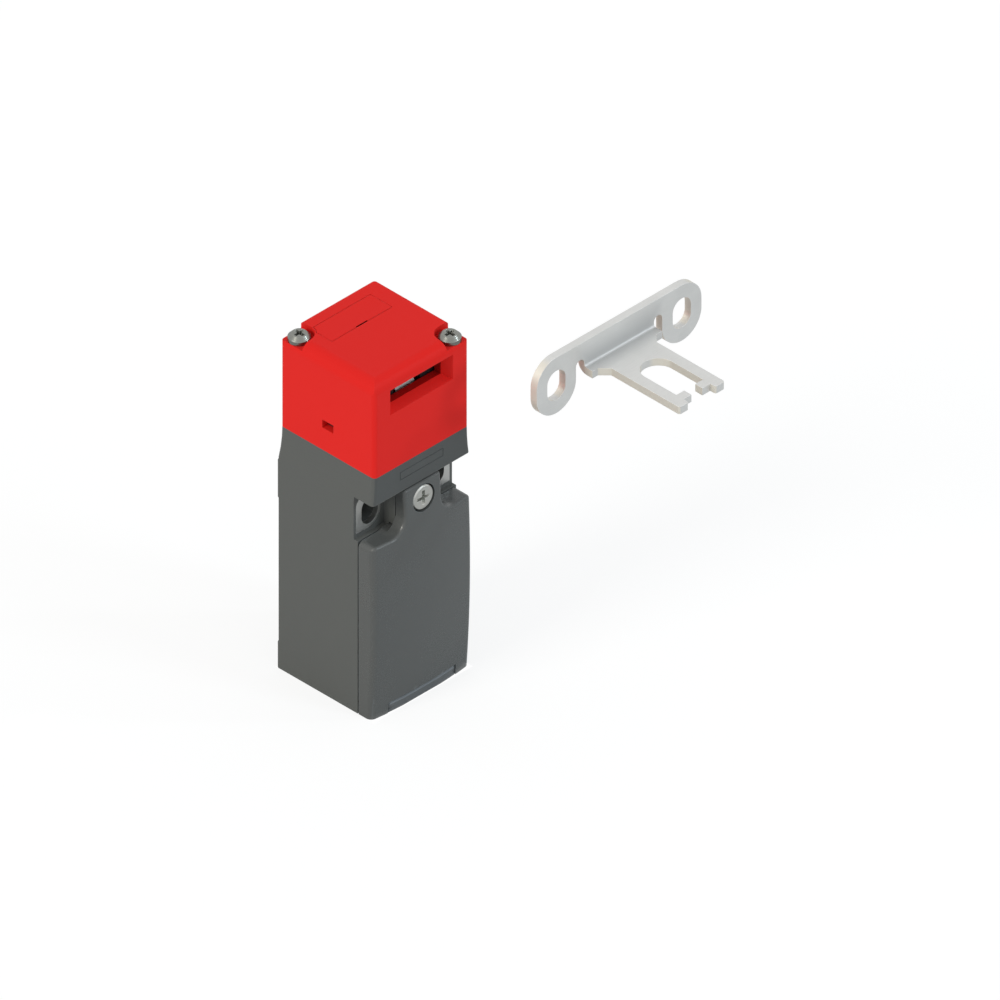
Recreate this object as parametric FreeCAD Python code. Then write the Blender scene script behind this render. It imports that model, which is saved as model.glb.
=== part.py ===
"""Tongue interlock switch with its separate actuator key.

A plastic switch body 30 mm wide, with a hinged terminal cover, a red head that turns a cam when the key
goes in, a plunger down the neck, and a two-pole contact block behind the cover.

Frame: X to the right, +Y to the mounting side (the cover faces -Y), +Z up. The origin is the centre of the
conduit entry in the base. Lengths are millimetres. Threads are drawn as plain cylinders: a screw at its
root diameter, its hole at the crest diameter.
"""
import FreeCAD, Part
import os
from math import cos, pi, radians, sin, sqrt

V = FreeCAD.Vector

# ---- general ----
past = 20.0                  # long cutters reach this far out
over = 1.0                   # short cutters overrun their face by this
touch_gap = 0.05             # pieces that press on each other stand this far apart
running_gap = 0.06           # round pieces that turn or slide in a hole
fit_gap = 0.02               # soft rings in their grooves
corner_r = 1.0               # upright corners of the mouldings
m4_root_r, m4_crest_r = 1.6, 2.0
m3_root_r, m3_crest_r = 1.2, 1.5
recess_wing = 0.9            # width of a cross recess's wings
m4_recess, m4_recess_deep = 3.9, 1.3
m3_recess, m3_recess_deep = 2.8, 1.0
recess_taper_long, recess_taper_wide = 0.56, 0.35   # what is left of them at the bottom

# ---- cam train, heights above the head's seat ----
axle_z = 12.0
axle_r = 1.5
cam_half = 3.0
cam_lift = 2.5
cam_turn = 70.0              # degrees from key out to key in
cam_low_r = 6.0              # support distance with the key in
cam_back_from = 195.0        # the lift curve starts here, behind the part that the plunger meets
cam_curve_steps = 6
horn_r, tooth_r, hub_r = 10.4, 9.0, 5.5
horn_from, horn_to = 12.0, 35.0          # degrees, from the front upwards
tooth_to, heel_from, heel_to = 160.0, 166.0, 200.0
rim_to, rim_end = 300.0, 312.0
notch_mid, notch_w, notch_floor = 47.0, 3.0, 6.0
disc_t, disc_gap = 1.1, 0.1
disc_rim, disc_low = 8.7, 1.0            # the discs' wide half starts this far above the axle
disc_hub_r = 5.0

# ---- key ----
key_t = 2.0
key_x = 40.6                 # where the key stands beside the switch, at rest
key_plate_front = 37.4
key_tongue_rise = 7.2        # middle of the tongue above the cam's axle
key_hole_rise = 0.27         # hole centres above the middle of the tongue
key_pitch = 40.0
key_hole_w, key_hole_h = 5.8, 8.0
key_ear_r, key_ear_straight = 6.25, 2.8
key_relief_half, key_relief_rise = 11.1, 1.1
key_bend_r = 0.8
key_base_len, key_base_step = 2.6, 1.7
key_tongue_half = 7.25
key_tip, key_tip_r = 26.5, 0.6
key_fork_half = 4.25
key_fork_end = 8.3
key_hook_half, key_hook_from, key_hook_to = 1.75, 22.5, 24.8

# ---- head ----
head_half = 15.0
head_roof = 2.7
head_round_near, head_round_far = 3.0, 0.8
head_wall = 2.6
screw_inset = 3.0            # head screws, in from two sides
shelf_drop = 1.8
notch_r = 3.55
head_screw_head_r, head_screw_head_h, head_screw_bevel = 2.7, 1.9, 0.9
head_screw_clear_r = 1.65
head_screw_bite, head_screw_hole_extra = 5.6, 0.5
screw_boss_r = 3.2
cavity_front_gap, cavity_top_gap = 0.15, 0.4    # round the cam's horn
cavity_back_wall, cavity_high_wall = 2.8, 3.4
cavity_side_gap = 0.3
gasket_out, gasket_in, gasket_depth = 9.4, 8.2, 0.7

# ---- key slots in the head ----
throat_side, throat_below, throat_above = 1.25, 2.8, 2.85   # room round the tongue's half width and middle
funnel_side, funnel_below, funnel_deep = 1.5, 1.1, 2.44
plug_x, plug_half, plug_front, plug_back = 0.5, 9.65, -4.4, -11.5
plug_cap_t, plug_gap, plug_round = 2.0, 0.14, 0.25
plug_corner_wall = 0.3       # between the plug's pocket and the screw notch beside it
plug_stem_drop = 1.0         # the stem ends this far below the cavity's roof
plug_ledge = 0.9
pry_from, pry_to, pry_w = -1.2, 2.4, 0.45
window_w, window_mid, window_low, window_high = 3.5, 0.1, 6.1, 8.3

# ---- cam carrier ----
carrier_rise = 5.6           # top of the cheeks, above the axle
carrier_front, carrier_back, foot_back = 10.2, 4.6, 9.6
cheek_in, cheek_gap = 4.25, 0.2
foot_low, foot_high = 0.1, 1.7
lug_skin, lug_gap = 1.7, 0.2
boss_gap = 0.2

# ---- housing ----
body_half = 15.7             # half the width below the neck
body_back = 15.5             # back of the body, without its pads
pad_rise = 0.25              # mounting pads stand proud of the back
pad_low_top = 6.9            # the lower pad runs from the base up to here
pad_high_down, pad_high_up = 6.0, 4.0   # the upper pad, below and above the mounting slots' centre
base_height = 66.6           # base to the head's seat
seam_front = 10.3            # housing's front rim, in front of the axis
neck_flare, neck_steps = 8.6, 3   # height over which the neck widens, and its flats
neck_front_drop = 7.5        # the neck's front overhang reaches this far below the seat
shoulder_drop = 19.1         # the cover's shoulders below the seat
chamber_wall = 2.5
chamber_floor = 11.5
chamber_drop = 21.6          # the wiring chamber's roof below the seat
conduit_r = 9.25             # M20 x 1.5 entry at its root
label_half, label_high, label_drop, label_line, label_depth = 6.9, 2.2, 2.1, 0.14, 0.1

# ---- mounting ears ----
ear_front = 9.0              # face of the ears, in front of the axis
ear_drop = 13.5              # seat to the centre of the mounting slots
ear_pitch = 21.0
ear_slot_w, ear_slot_h = 5.3, 7.3
ear_plate_t = 1.5
ear_plate_edge = 0.8         # plate's outer edge, in from the body's side
ear_plate_inner = 7.2
ear_plate_up, ear_plate_down = 4.9, 4.6
ear_plate_round, ear_plate_inner_round = 2.4, 4.0

# ---- cover ----
seam_gap = 0.3
tab_half = 5.8
tab_fillet, tab_corner_r = 4.5, 0.8
tab_gap = 0.3                # under the neck's overhang
tab_back = 12.6
cover_edge = 15.5            # front of the cover at its side edges, mid height
cover_plan_r = 116.0         # bulge across
cover_rise_r = 400.0         # bulge up and down
cover_sweep = 11.0           # degrees of that bulge, more than the cover needs
cover_skin = 2.3
cover_pocket_inset = 0.3     # the cover's hollow, in from the chamber's edges
cover_side_round, cover_top_round = 1.6, 0.8
gasket_w, gasket_t = 1.2, 0.9
gasket_inset = 0.5           # from the chamber's edge out to the gasket
gasket_squeeze = 0.2         # how far it stands out of its groove

# ---- cover hinge ----
hinge_front, hinge_z = 14.2, 1.15
nose_r = 1.5
hinge_half = 10.5            # half length of the housing's hinge bar
hinge_gap = 0.25
nose_inset = 0.15            # the bar's front, behind the cover's face
hinge_pin_r, hinge_pin_len, hinge_pin_root = 0.65, 1.3, 0.5

# ---- cover screw, M4 ----
cover_screw_drop = 12.1
cover_screw_head_r, cover_screw_head_h, cover_screw_bevel = 3.2, 1.7, 0.3
cover_screw_sink = 0.15
cover_screw_recess_gap = 0.3
cover_screw_bite, cover_screw_hole = 2.6, 4.5

# ---- plunger ----
plunger_r, plunger_cap_r, plunger_cap_t, plunger_bevel = 2.5, 4.0, 1.2, 0.4
well_r, well_rise = 4.6, 5.6     # room for the contact slide's nub, above the chamber's roof
neck_bore_r, neck_bore_depth = 4.5, 6.6
seal_t, seal_gap, seat_t, seat_gap = 1.5, 0.03, 0.5, 0.1
spring_wire, spring_room = 0.6, 1.0

# ---- contact block, heights below its top ----
block_gap = 0.2              # under the chamber's roof
block_side_gap, block_back_gap = 0.8, 0.4
block_front, block_face = 8.0, 3.5       # front and niches' floor, in front of the axis
block_inner = 1.5            # front of the inner room
block_drop, step_drop = 29.3, 21.5   # underside, and step up to the terminals
block_wall, block_floor_t = 1.2, 1.5
lid_t, lid_up, lid_corner = 3.4, 4.0, 0.8
lid_groove_half, lid_groove_deep, lid_groove_end = 2.5, 0.8, 2.0
terminal_drops = (16.2, 6.2)
terminal_x = 8.4
niche_half, niche_in, niche_wall = 4.3, 4.6, 0.7
rail_gap, rail_t, rail_back = 0.1, 1.0, 2.5   # the rails that guide the slide
slide_half, slide_front = 3.7, 1.2
slide_low_drop, slide_top_drop = 23.4, 4.0
slide_nub_r, nub_rise, nub_foot = 3.0, 2.4, 2.0
bridge_y = 5.0
bridge_half, bridge_w, bridge_t, bridge_gap = 9.0, 2.8, 0.6, 0.1
bridge_drops = (17.2, 7.2)
window_h = 4.75
bridge_spring_r, bridge_spring_wire = 1.35, 0.35
slide_spring_r, slide_spring_wire, slide_spring_y = 2.2, 0.45, 3.8
slide_spring_cup_r, slide_spring_cup = 2.3, 0.8
tip_r, tip_t = 1.2, 0.7
arm_t, arm_w, arm_x, arm_gap = 1.0, 2.6, 7.5, 0.1
pad_half, pad_t = 3.1, 1.0
clamp_half, clamp_t, clamp_gap = 2.9, 0.9, 0.6
terminal_screw_r, terminal_screw_h, terminal_screw_len = 2.6, 1.8, 3.2
terminal_hole_r, terminal_hole_deep = 1.8, 1.2
block_screw_x, block_screw_drop, block_screw_len = 9.0, 26.6, 6.0
block_flange_t, flange_side, flange_up = 2.6, 3.2, 3.0
block_screw_head_r, block_screw_head_h, block_screw_gap = 2.4, 1.6, 0.3
block_screw_clear_r = 1.6
boss_r, boss_skin = 2.6, 2.3     # bosses in the housing's back, and what their pilots leave of its wall

# ---- worked out from those ----
seat = base_height
cam_z = seat + axle_z
tongue_z = cam_z + key_tongue_rise
cavity_top = cam_z + horn_r + cavity_top_gap
head_top = cavity_top + head_roof
throat_half = key_tongue_half + throat_side
screw_at = head_half - screw_inset
cheek_out = head_half - head_wall - cheek_gap
shoulder_z = seat - shoulder_drop
overhang_z = seat - neck_front_drop
tab_top = overhang_z - tab_gap
ear_z = seat - ear_drop
screw_z = seat - cover_screw_drop
chamber_top = seat - chamber_drop
chamber_half = body_half - chamber_wall
cover_back = seam_front + seam_gap
cover_mid_z = tab_top / 2
cover_reach = cover_edge + body_half ** 2 / (2 * cover_plan_r)
block_top = chamber_top - block_gap
block_low = block_top - block_drop
block_screw_z = block_top - block_screw_drop
block_half = chamber_half - block_side_gap
lid_back = body_back - chamber_wall - block_back_gap
block_back = lid_back - lid_t
terminal_z = [block_top - drop for drop in terminal_drops]
bridge_top = [block_top - drop for drop in bridge_drops]
slide_low = block_top - slide_low_drop
slide_top = block_top - slide_top_drop
nub_top = block_top + nub_rise
plunger_top = cam_z - (cam_low_r + cam_lift) - touch_gap
plunger_low = nub_top + touch_gap
neck_bore_floor = seat - neck_bore_depth


def cover_front(z, x=0.0):
    """How far in front of the axis the cover's outer face is."""
    return cover_reach - x ** 2 / (2 * cover_plan_r) - (z - cover_mid_z) ** 2 / (2 * cover_rise_r)


# ---------------------------------------------------------------- helpers
def box(x0, x1, y0, y1, z0, z1):
    return Part.makeBox(x1 - x0, y1 - y0, z1 - z0, V(x0, y0, z0))


def cyl(r, base, direction, length):
    return Part.makeCylinder(r, length, V(*base), V(*direction))


def prism(points, thickness):
    """A closed outline of points, pushed along the vector thickness."""
    wire = Part.makePolygon([V(*p) for p in points] + [V(*points[0])])
    return Part.Face(wire).extrude(V(*thickness))


def line(start, end):
    return Part.LineSegment(start, end).toShape()


def slot_x(cx, cz, w, h, y0, y1):
    """An upright oblong of width w and height h, running along Y."""
    r = w / 2
    straight = (h - w) / 2
    body = box(cx - r, cx + r, y0, y1, cz - straight, cz + straight)
    for end in (-straight, straight):
        body = body.fuse(cyl(r, (cx, y0, cz + end), (0, 1, 0), y1 - y0))
    return body.removeSplitter()


def rounded_rect(x0, x1, y0, y1, r, z):
    """A flat rectangle with rounded corners at height z, as a wire."""
    k = r * (1 - sqrt(0.5))
    edges = [
        line(V(x0 + r, y0, z), V(x1 - r, y0, z)),
        Part.Arc(V(x1 - r, y0, z), V(x1 - k, y0 + k, z), V(x1, y0 + r, z)).toShape(),
        line(V(x1, y0 + r, z), V(x1, y1 - r, z)),
        Part.Arc(V(x1, y1 - r, z), V(x1 - k, y1 - k, z), V(x1 - r, y1, z)).toShape(),
        line(V(x1 - r, y1, z), V(x0 + r, y1, z)),
        Part.Arc(V(x0 + r, y1, z), V(x0 + k, y1 - k, z), V(x0, y1 - r, z)).toShape(),
        line(V(x0, y1 - r, z), V(x0, y0 + r, z)),
        Part.Arc(V(x0, y0 + r, z), V(x0 + k, y0 + k, z), V(x0 + r, y0, z)).toShape(),
    ]
    return Part.Wire(edges)


def ruled_through(rings):
    """A solid through a row of closed wires, each edge joined straight to its partner in the next wire."""
    faces = [Part.Face(rings[0]), Part.Face(rings[-1])]
    for ring, following in zip(rings, rings[1:]):
        for edge, partner in zip(ring.Edges, following.Edges):
            faces.append(Part.makeRuledSurface(edge, partner))
    return Part.Solid(Part.Shell(faces))


def rounded_block(x0, x1, y0, y1, r, z0, z1):
    return Part.Face(rounded_rect(x0, x1, y0, y1, r, z0)).extrude(V(0, 0, z1 - z0))


def fillet_where(shape, r, test):
    """Round the edges whose two ends and middle all pass the test."""
    picked = []
    for edge in shape.Edges:
        middle = edge.valueAt((edge.FirstParameter + edge.LastParameter) / 2)
        if all(test(p) for p in [v.Point for v in edge.Vertexes] + [middle]):
            picked.append(edge)
    return shape.makeFillet(r, picked)


def bevel_where(shape, size, test):
    """Bevel the circular edges whose centre passes the test."""
    picked = [e for e in shape.Edges if isinstance(e.Curve, Part.Circle) and test(e.Curve.Center)]
    return shape.makeChamfer(size, picked)


def near(a, b, tol=1e-3):
    return abs(a - b) < tol


def both_sides(shape):
    """The shape and its mirror across the middle, as a list of two."""
    return [shape, shape.mirror(V(0, 0, 0), V(1, 0, 0))]


def cross_recess(base, direction, size, depth):
    """A cross-head drive recess, cut from a screw head's outer face: two wings that narrow inwards."""
    long, wide = size / 2, recess_wing / 2
    low_long, low_wide = long * recess_taper_long, wide * recess_taper_wide
    outwards = FreeCAD.Placement(V(*base), FreeCAD.Rotation(V(0, 1, 0), V(*direction)))
    wings = []
    for angle in (0, 90):
        wing = Part.makeWedge(-low_long, -depth, -low_wide, -wide, -long, low_long, 0, low_wide, wide, long)
        wing.rotate(V(0, 0, 0), V(0, 1, 0), angle)
        wing.Placement = outwards.multiply(wing.Placement)
        wings.append(wing)
    return wings[0].fuse(wings[1])


def coil_sleeve(x, y, z0, z1, r_out, wire):
    """A compression spring's envelope: a sleeve as thick as its wire."""
    outer = cyl(r_out, (x, y, z0), (0, 0, 1), z1 - z0)
    return outer.cut(cyl(r_out - wire, (x, y, z0), (0, 0, 1), z1 - z0))


# ---------------------------------------------------------------- housing
def housing_shell():
    """The outer form: upright below, then a neck that narrows to the head's size in flats."""
    lower = rounded_block(-body_half, body_half, -head_half, body_back, corner_r, 0, seat - neck_flare)
    rings = []
    for step in range(neck_steps + 1):
        rise = step / neck_steps
        side = head_half + (body_half - head_half) * (1 - rise) ** 2
        back = head_half + (body_back - head_half) * (1 - rise) ** 2
        rings.append(rounded_rect(-side, side, -head_half, back, corner_r, seat - neck_flare * (1 - rise)))
    return lower.fuse(ruled_through(rings))


def front_steps():
    """What is cut from the shell's front: room for the cover, its tab and the tab's back, and the ears."""
    cuts = [
        box(-past, past, -past, -seam_front, -over, shoulder_z),
        box(-past, past, -past, -tab_back + seam_gap, shoulder_z - over, overhang_z),
        box(-tab_half, tab_half, -past, -seam_front, shoulder_z - over, shoulder_z + 2 * seam_gap),
    ]
    return cuts + both_sides(box(tab_half, past, -past, -ear_front, shoulder_z, overhang_z))


def wiring_room():
    """The chamber, open to the front, and the conduit entry below it."""
    return [
        rounded_block(-chamber_half, chamber_half, -seam_front - over, body_back - chamber_wall, corner_r,
                      chamber_floor, chamber_top),
        cyl(conduit_r, (0, 0, -over), (0, 0, 1), chamber_floor + 2 * over),
    ]


def mounting_pads():
    """The two flat pads across the back."""
    pads = []
    for low, high in ((0, pad_low_top), (ear_z - pad_high_down, ear_z + pad_high_up)):
        pad = rounded_block(-body_half, body_half, 0, body_back + pad_rise, corner_r, low, high)
        pads.append(pad.common(box(-past, past, body_back - corner_r, past, 0, seat)))
    return pads


def plunger_way():
    """The stepped hole for the plunger, from the chamber's roof up to the head's seat."""
    return [
        cyl(well_r, (0, 0, chamber_top - over), (0, 0, 1), well_rise + over),
        cyl(plunger_r + running_gap, (0, 0, chamber_top), (0, 0, 1), seat),
        cyl(neck_bore_r, (0, 0, neck_bore_floor), (0, 0, 1), seat),
    ]


def gasket_groove():
    ring = box(-gasket_out, gasket_out, -gasket_out, gasket_out, seat - gasket_depth, seat + over)
    return ring.cut(box(-gasket_in, gasket_in, -gasket_in, gasket_in, 0, seat + 2 * over))


def label_outline():
    """The thin line round the empty label field on the neck."""
    front, top = -head_half, seat - label_drop
    low = top - label_high
    outer = box(-label_half, label_half, front - over, front + label_depth, low, top)
    half = label_half - label_line
    return outer.cut(box(-half, half, front - 2 * over, front + over, low + label_line, top - label_line))


def bulged_outline(reach):
    """The cover's section: a shallow front arc that runs into its sides through a round at each edge."""
    r, z = cover_side_round, cover_mid_z
    centre_y = cover_plan_r - reach
    corner_x = body_half - r
    corner_y = centre_y - sqrt((cover_plan_r - r) ** 2 - corner_x ** 2)
    lean = V(corner_x, corner_y - centre_y, 0) * (1 / (cover_plan_r - r))
    halfway = lean + V(1, 0, 0)
    halfway.normalize()
    out = [V(corner_x, corner_y, z) + way * r for way in (lean, halfway, V(1, 0, 0))]
    left, right = [[V(side * p.x, p.y, z) for p in out] for side in (-1, 1)]
    back_y = -seam_front + 3 * over
    return Part.Wire([
        Part.Arc(left[0], V(0, -reach, z), right[0]).toShape(),
        Part.Arc(*right).toShape(),
        line(right[2], V(body_half, back_y, z)),
        line(V(body_half, back_y, z), V(-body_half, back_y, z)),
        line(V(-body_half, back_y, z), left[2]),
        Part.Arc(left[2], left[1], left[0]).toShape(),
    ])


def bulged_block(z0, z1, offset=0.0, back=0.0):
    """A block as wide as the cover, out to its bulged front face moved by offset; back grows it inwards."""
    reach = cover_reach + offset
    pivot = V(0, cover_rise_r - reach, cover_mid_z)
    face = Part.Face(bulged_outline(reach))
    face.rotate(pivot, V(1, 0, 0), -cover_sweep / 2)
    bulge = face.revolve(pivot, V(1, 0, 0), cover_sweep)
    return bulge.common(box(-body_half, body_half, -past, -cover_back - back, z0, z1))


def hinge_bar():
    """The bar across the base that the cover's pins turn in, with a round nose about the hinge axis."""
    top = hinge_z + nose_r
    nose = cyl(nose_r, (-hinge_half, -hinge_front, hinge_z), (1, 0, 0), 2 * hinge_half)
    bar = nose.fuse(box(-hinge_half, hinge_half, -hinge_front, -seam_front, 0, top))
    bar = bar.common(box(-hinge_half, hinge_half, -past, -seam_front, 0, top))
    bar = bar.common(bulged_block(0, top + over, -nose_inset, -2 * over))
    for side in (-1, 1):
        hole_end = side * (hinge_half - hinge_pin_len - hinge_pin_root)
        bar = bar.cut(cyl(hinge_pin_r + running_gap, (hole_end, -hinge_front, hinge_z), (side, 0, 0), past))
    return bar


def make_housing():
    shell = housing_shell()
    for cut in front_steps() + wiring_room():
        shell = shell.cut(cut)
    for pad in mounting_pads():
        shell = shell.fuse(pad)
    for side in (-1, 1):
        x = side * block_screw_x
        boss = cyl(boss_r, (x, block_back, block_screw_z), (0, 1, 0), body_back - over - block_back)
        pilot = cyl(m3_crest_r, (x, 0, block_screw_z), (0, 1, 0), body_back - boss_skin)
        shell = shell.fuse(boss).cut(pilot)
        shell = shell.cut(slot_x(side * ear_pitch / 2, ear_z, ear_slot_w, ear_slot_h, -past, past))
        low = seat - head_screw_bite - head_screw_hole_extra
        shell = shell.cut(cyl(m3_crest_r, (side * screw_at, -side * screw_at, low), (0, 0, 1), past))
    screw_hole = cyl(m4_crest_r, (0, -past, screw_z), (0, 1, 0),
                     past - tab_back + seam_gap + cover_screw_hole)
    for cut in ear_plate_outlines() + plunger_way() + [screw_hole, gasket_groove(), label_outline()]:
        shell = shell.cut(cut)
    return shell.fuse(hinge_bar()).removeSplitter()


def ear_plate_outlines():
    """The two steel plates' outer form: round above and at the inner lower corner."""
    plates = []
    low, top = ear_z - ear_plate_down, ear_z + ear_plate_up
    for side in (-1, 1):
        inner, outer = side * ear_plate_inner, side * (body_half - ear_plate_edge)
        plate = box(min(inner, outer), max(inner, outer), -ear_front, -ear_front + ear_plate_t, low, top)
        plate = fillet_where(plate, ear_plate_round,
                             lambda p: near(p.z, top) and (near(p.x, inner) or near(p.x, outer)))
        plate = fillet_where(plate, ear_plate_inner_round, lambda p: near(p.z, low) and near(p.x, inner))
        plates.append(plate)
    return plates


def make_ear_plates():
    solids = []
    for side, plate in zip((-1, 1), ear_plate_outlines()):
        solids.append(plate.cut(slot_x(side * ear_pitch / 2, ear_z, ear_slot_w, ear_slot_h, -past, past)))
    return Part.makeCompound(solids)


# ---------------------------------------------------------------- cover
def cover_sheet():
    """The cover's outline seen from the front: shoulders, and a tab with hollow corners at its foot."""
    sheet = box(-body_half, body_half, -past, 0, 0, shoulder_z)
    sheet = sheet.fuse(box(-tab_half, tab_half, -past, 0, 0, tab_top)).removeSplitter()
    sheet = fillet_where(sheet, tab_fillet, lambda p: near(abs(p.x), tab_half) and near(p.z, shoulder_z))
    sheet = fillet_where(sheet, cover_side_round,
                         lambda p: near(abs(p.x), body_half) and near(p.z, shoulder_z))
    return fillet_where(sheet, tab_corner_r, lambda p: near(abs(p.x), tab_half) and near(p.z, tab_top))


def make_cover():
    body = bulged_block(0, tab_top).common(cover_sheet())
    front_edges_y = -cover_front(shoulder_z, body_half) + cover_side_round
    body = fillet_where(body, cover_top_round,
                        lambda p: p.z > shoulder_z - 1.5 * cover_side_round and p.y < front_edges_y)
    body = body.cut(box(-past, past, -tab_back, 0, shoulder_z + seam_gap, seat))
    half = chamber_half - cover_pocket_inset
    pocket = box(-half, half, -past, 0, chamber_floor + cover_pocket_inset, chamber_top - cover_pocket_inset)
    body = body.cut(pocket.common(bulged_block(0, tab_top, -cover_skin, -over)))
    body = body.cut(gasket_ring(0.0))
    end = hinge_half + hinge_gap
    body = body.cut(box(-end, end, -past, 0, -over, hinge_z + nose_r + hinge_gap))
    for side in (-1, 1):
        pin = cyl(hinge_pin_r, (side * (end + hinge_pin_root), -hinge_front, hinge_z), (-side, 0, 0),
                  hinge_pin_root + hinge_gap + hinge_pin_len)
        body = body.fuse(pin)
    floor = -cover_front(screw_z) + cover_screw_sink + cover_screw_head_h
    recess = cyl(cover_screw_head_r + cover_screw_recess_gap, (0, floor, screw_z), (0, -1, 0), past)
    hole = cyl(m4_crest_r, (0, -past, screw_z), (0, 1, 0), past)
    return body.cut(recess).cut(hole).removeSplitter()


def gasket_ring(trim):
    """The ring round the chamber's mouth; trim makes it that much slimmer on all sides."""
    rings = []
    for out in (gasket_inset + gasket_w - trim, gasket_inset + trim):
        half = chamber_half + out
        rings.append(box(-half, half, -cover_back - gasket_t, -cover_back + gasket_squeeze,
                         chamber_floor - out, chamber_top + out))
    return rings[0].cut(rings[1])


def make_cover_gasket():
    return gasket_ring(fit_gap)


def make_cover_screw():
    face = -cover_front(screw_z) + cover_screw_sink
    under = face + cover_screw_head_h
    head = cyl(cover_screw_head_r, (0, face, screw_z), (0, 1, 0), cover_screw_head_h)
    head = bevel_where(head, cover_screw_bevel, lambda p: near(p.y, face))
    tip = -tab_back + seam_gap + cover_screw_bite
    shank = cyl(m4_root_r, (0, under, screw_z), (0, 1, 0), tip - under)
    return head.cut(cross_recess((0, face, screw_z), (0, -1, 0), m4_recess, m4_recess_deep)).fuse(shank)


# ---------------------------------------------------------------- head
def head_screw_places():
    return [(-screw_at, screw_at), (screw_at, -screw_at)]


def make_head():
    body = rounded_block(-head_half, head_half, -head_half, head_half, corner_r, seat, head_top)
    body = body.makeFillet(head_round_far, [e for e in body.Edges if is_top_edge(e)])
    near_box = box(-head_half, head_half, -head_half, head_half, seat, head_top)
    near_edges = [e for e in near_box.Edges if is_top_edge(e) and is_near_side(e)]
    body = body.common(near_box.makeFillet(head_round_near, near_edges))
    for x, y in head_screw_places():
        body = body.cut(corner_notch(x, y, notch_r, head_top - shelf_drop))
    body = body.cut(head_cavity()).cut(front_slot())
    cap_low = head_top - plug_cap_t
    body = body.cut(plug_outline(0.0, cap_low, head_top + over))
    body = body.cut(plug_outline(plug_ledge, cavity_top - over, cap_low + over))
    body = body.cut(pry_slot(-plug_front, cavity_top - over))
    for x, y in head_screw_places():
        body = body.cut(cyl(head_screw_clear_r, (x, y, seat - over), (0, 0, 1), head_top - seat))
    window = box(head_half - head_wall - over, head_half + over, -window_mid - window_w / 2,
                 -window_mid + window_w / 2, seat + window_low, seat + window_high)
    for side in both_sides(window):
        body = body.cut(side)
    return body.removeSplitter()


def is_top_edge(edge):
    return near(edge.BoundBox.ZMin, head_top) and near(edge.BoundBox.ZMax, head_top)


def is_near_side(edge):
    """True for an edge of the head's left or front side."""
    return near(edge.BoundBox.XMax, -head_half) or near(edge.BoundBox.YMax, -head_half)


def corner_notch(x, y, r, low):
    """The room round a head screw, open to its corner of the head and upwards from low."""
    far_x, far_y = (2 * head_half * (1 if at > 0 else -1) for at in (x, y))
    room = cyl(r, (x, y, low), (0, 0, 1), past)
    for x0, y0 in ((x - r * far_x / abs(far_x), y), (x, y - r * far_y / abs(far_y))):
        room = room.fuse(box(min(x0, far_x), max(x0, far_x), min(y0, far_y), max(y0, far_y), low, low + past))
    return room


def plug_outline(inset, low, high):
    """The top slot's plug as a block, less the screw notch's corner; inset makes it smaller all round."""
    block = rounded_block(plug_x - plug_half + inset, plug_x + plug_half - inset, -plug_front + inset,
                          -plug_back - inset, plug_round, low, high)
    x, y = head_screw_places()[0]
    return block.cut(corner_notch(x, y, notch_r + plug_corner_wall + inset, low - over))


def pry_slot(front, low):
    """The narrow gap along the plug's front edge, to lever it out."""
    return box(pry_from, pry_to, front, -plug_front + pry_w, low, head_top + over)


def head_cavity():
    inner, front = head_half - head_wall, horn_r + cavity_front_gap
    low_top = cam_z + carrier_rise + cavity_side_gap
    low = box(-inner, inner, -front, head_half - cavity_back_wall, seat - over, low_top)
    half = throat_half + cavity_side_gap
    cavity = low.fuse(box(-half, half, -front, head_half - cavity_high_wall, seat, cavity_top))
    for x, y in head_screw_places():
        cavity = cavity.cut(cyl(screw_boss_r, (x, y, seat - 2 * over), (0, 0, 1), head_top - seat))
    return cavity


def front_slot():
    """The key's way in: a straight throat, then a funnel out to the face."""
    low, high = tongue_z - throat_below, tongue_z + throat_above
    inner, face = -head_half + funnel_deep, -head_half
    throat = box(-throat_half, throat_half, inner - fit_gap, -horn_r, low, high)
    rings = []
    for half, floor, y in ((throat_half, low, inner), (throat_half + funnel_side, low - funnel_below, face)):
        corners = [V(-half, y, floor), V(half, y, floor), V(half, y, high), V(-half, y, high)]
        rings.append(Part.makePolygon(corners + [corners[0]]))
    return throat.fuse(Part.makeLoft(rings, True, True))


def make_slot_plug():
    cap = plug_outline(plug_gap, head_top - plug_cap_t, head_top)
    stem = plug_outline(plug_ledge + plug_gap, cavity_top - plug_stem_drop, head_top - plug_cap_t)
    return cap.fuse(stem).cut(pry_slot(-plug_front - over, seat)).removeSplitter()


def make_head_screws():
    solids = []
    shelf, low = head_top - shelf_drop, seat - head_screw_bite
    top = shelf + head_screw_head_h
    for x, y in head_screw_places():
        head = cyl(head_screw_head_r, (x, y, shelf), (0, 0, 1), head_screw_head_h)
        head = bevel_where(head, head_screw_bevel, lambda p: near(p.z, top))
        head = head.cut(cross_recess((x, y, top), (0, 0, 1), m3_recess, m3_recess_deep))
        solids.append(head.fuse(cyl(m3_root_r, (x, y, low), (0, 0, 1), shelf - low)))
    return Part.makeCompound(solids)


def make_head_gasket():
    out, inside = gasket_out - fit_gap, gasket_in + fit_gap
    ring = box(-out, out, -out, out, seat - gasket_depth, seat)
    return ring.cut(box(-inside, inside, -inside, inside, 0, seat + over))


# ---------------------------------------------------------------- cam train
def polar(r, angle):
    """A point in the cam's plane; the angle is counted from the front, upwards."""
    return V(0, -r * cos(radians(angle)), cam_z + r * sin(radians(angle)))


def cam_point(angle):
    """The lift curve: its support distance grows evenly with the angle, so the plunger moves evenly."""
    rate = cam_lift / radians(cam_turn)
    support = cam_low_r + rate * radians(angle - (270 - cam_turn))
    return polar(support, angle) + polar(rate, angle + 90) - polar(0, 0)


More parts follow.
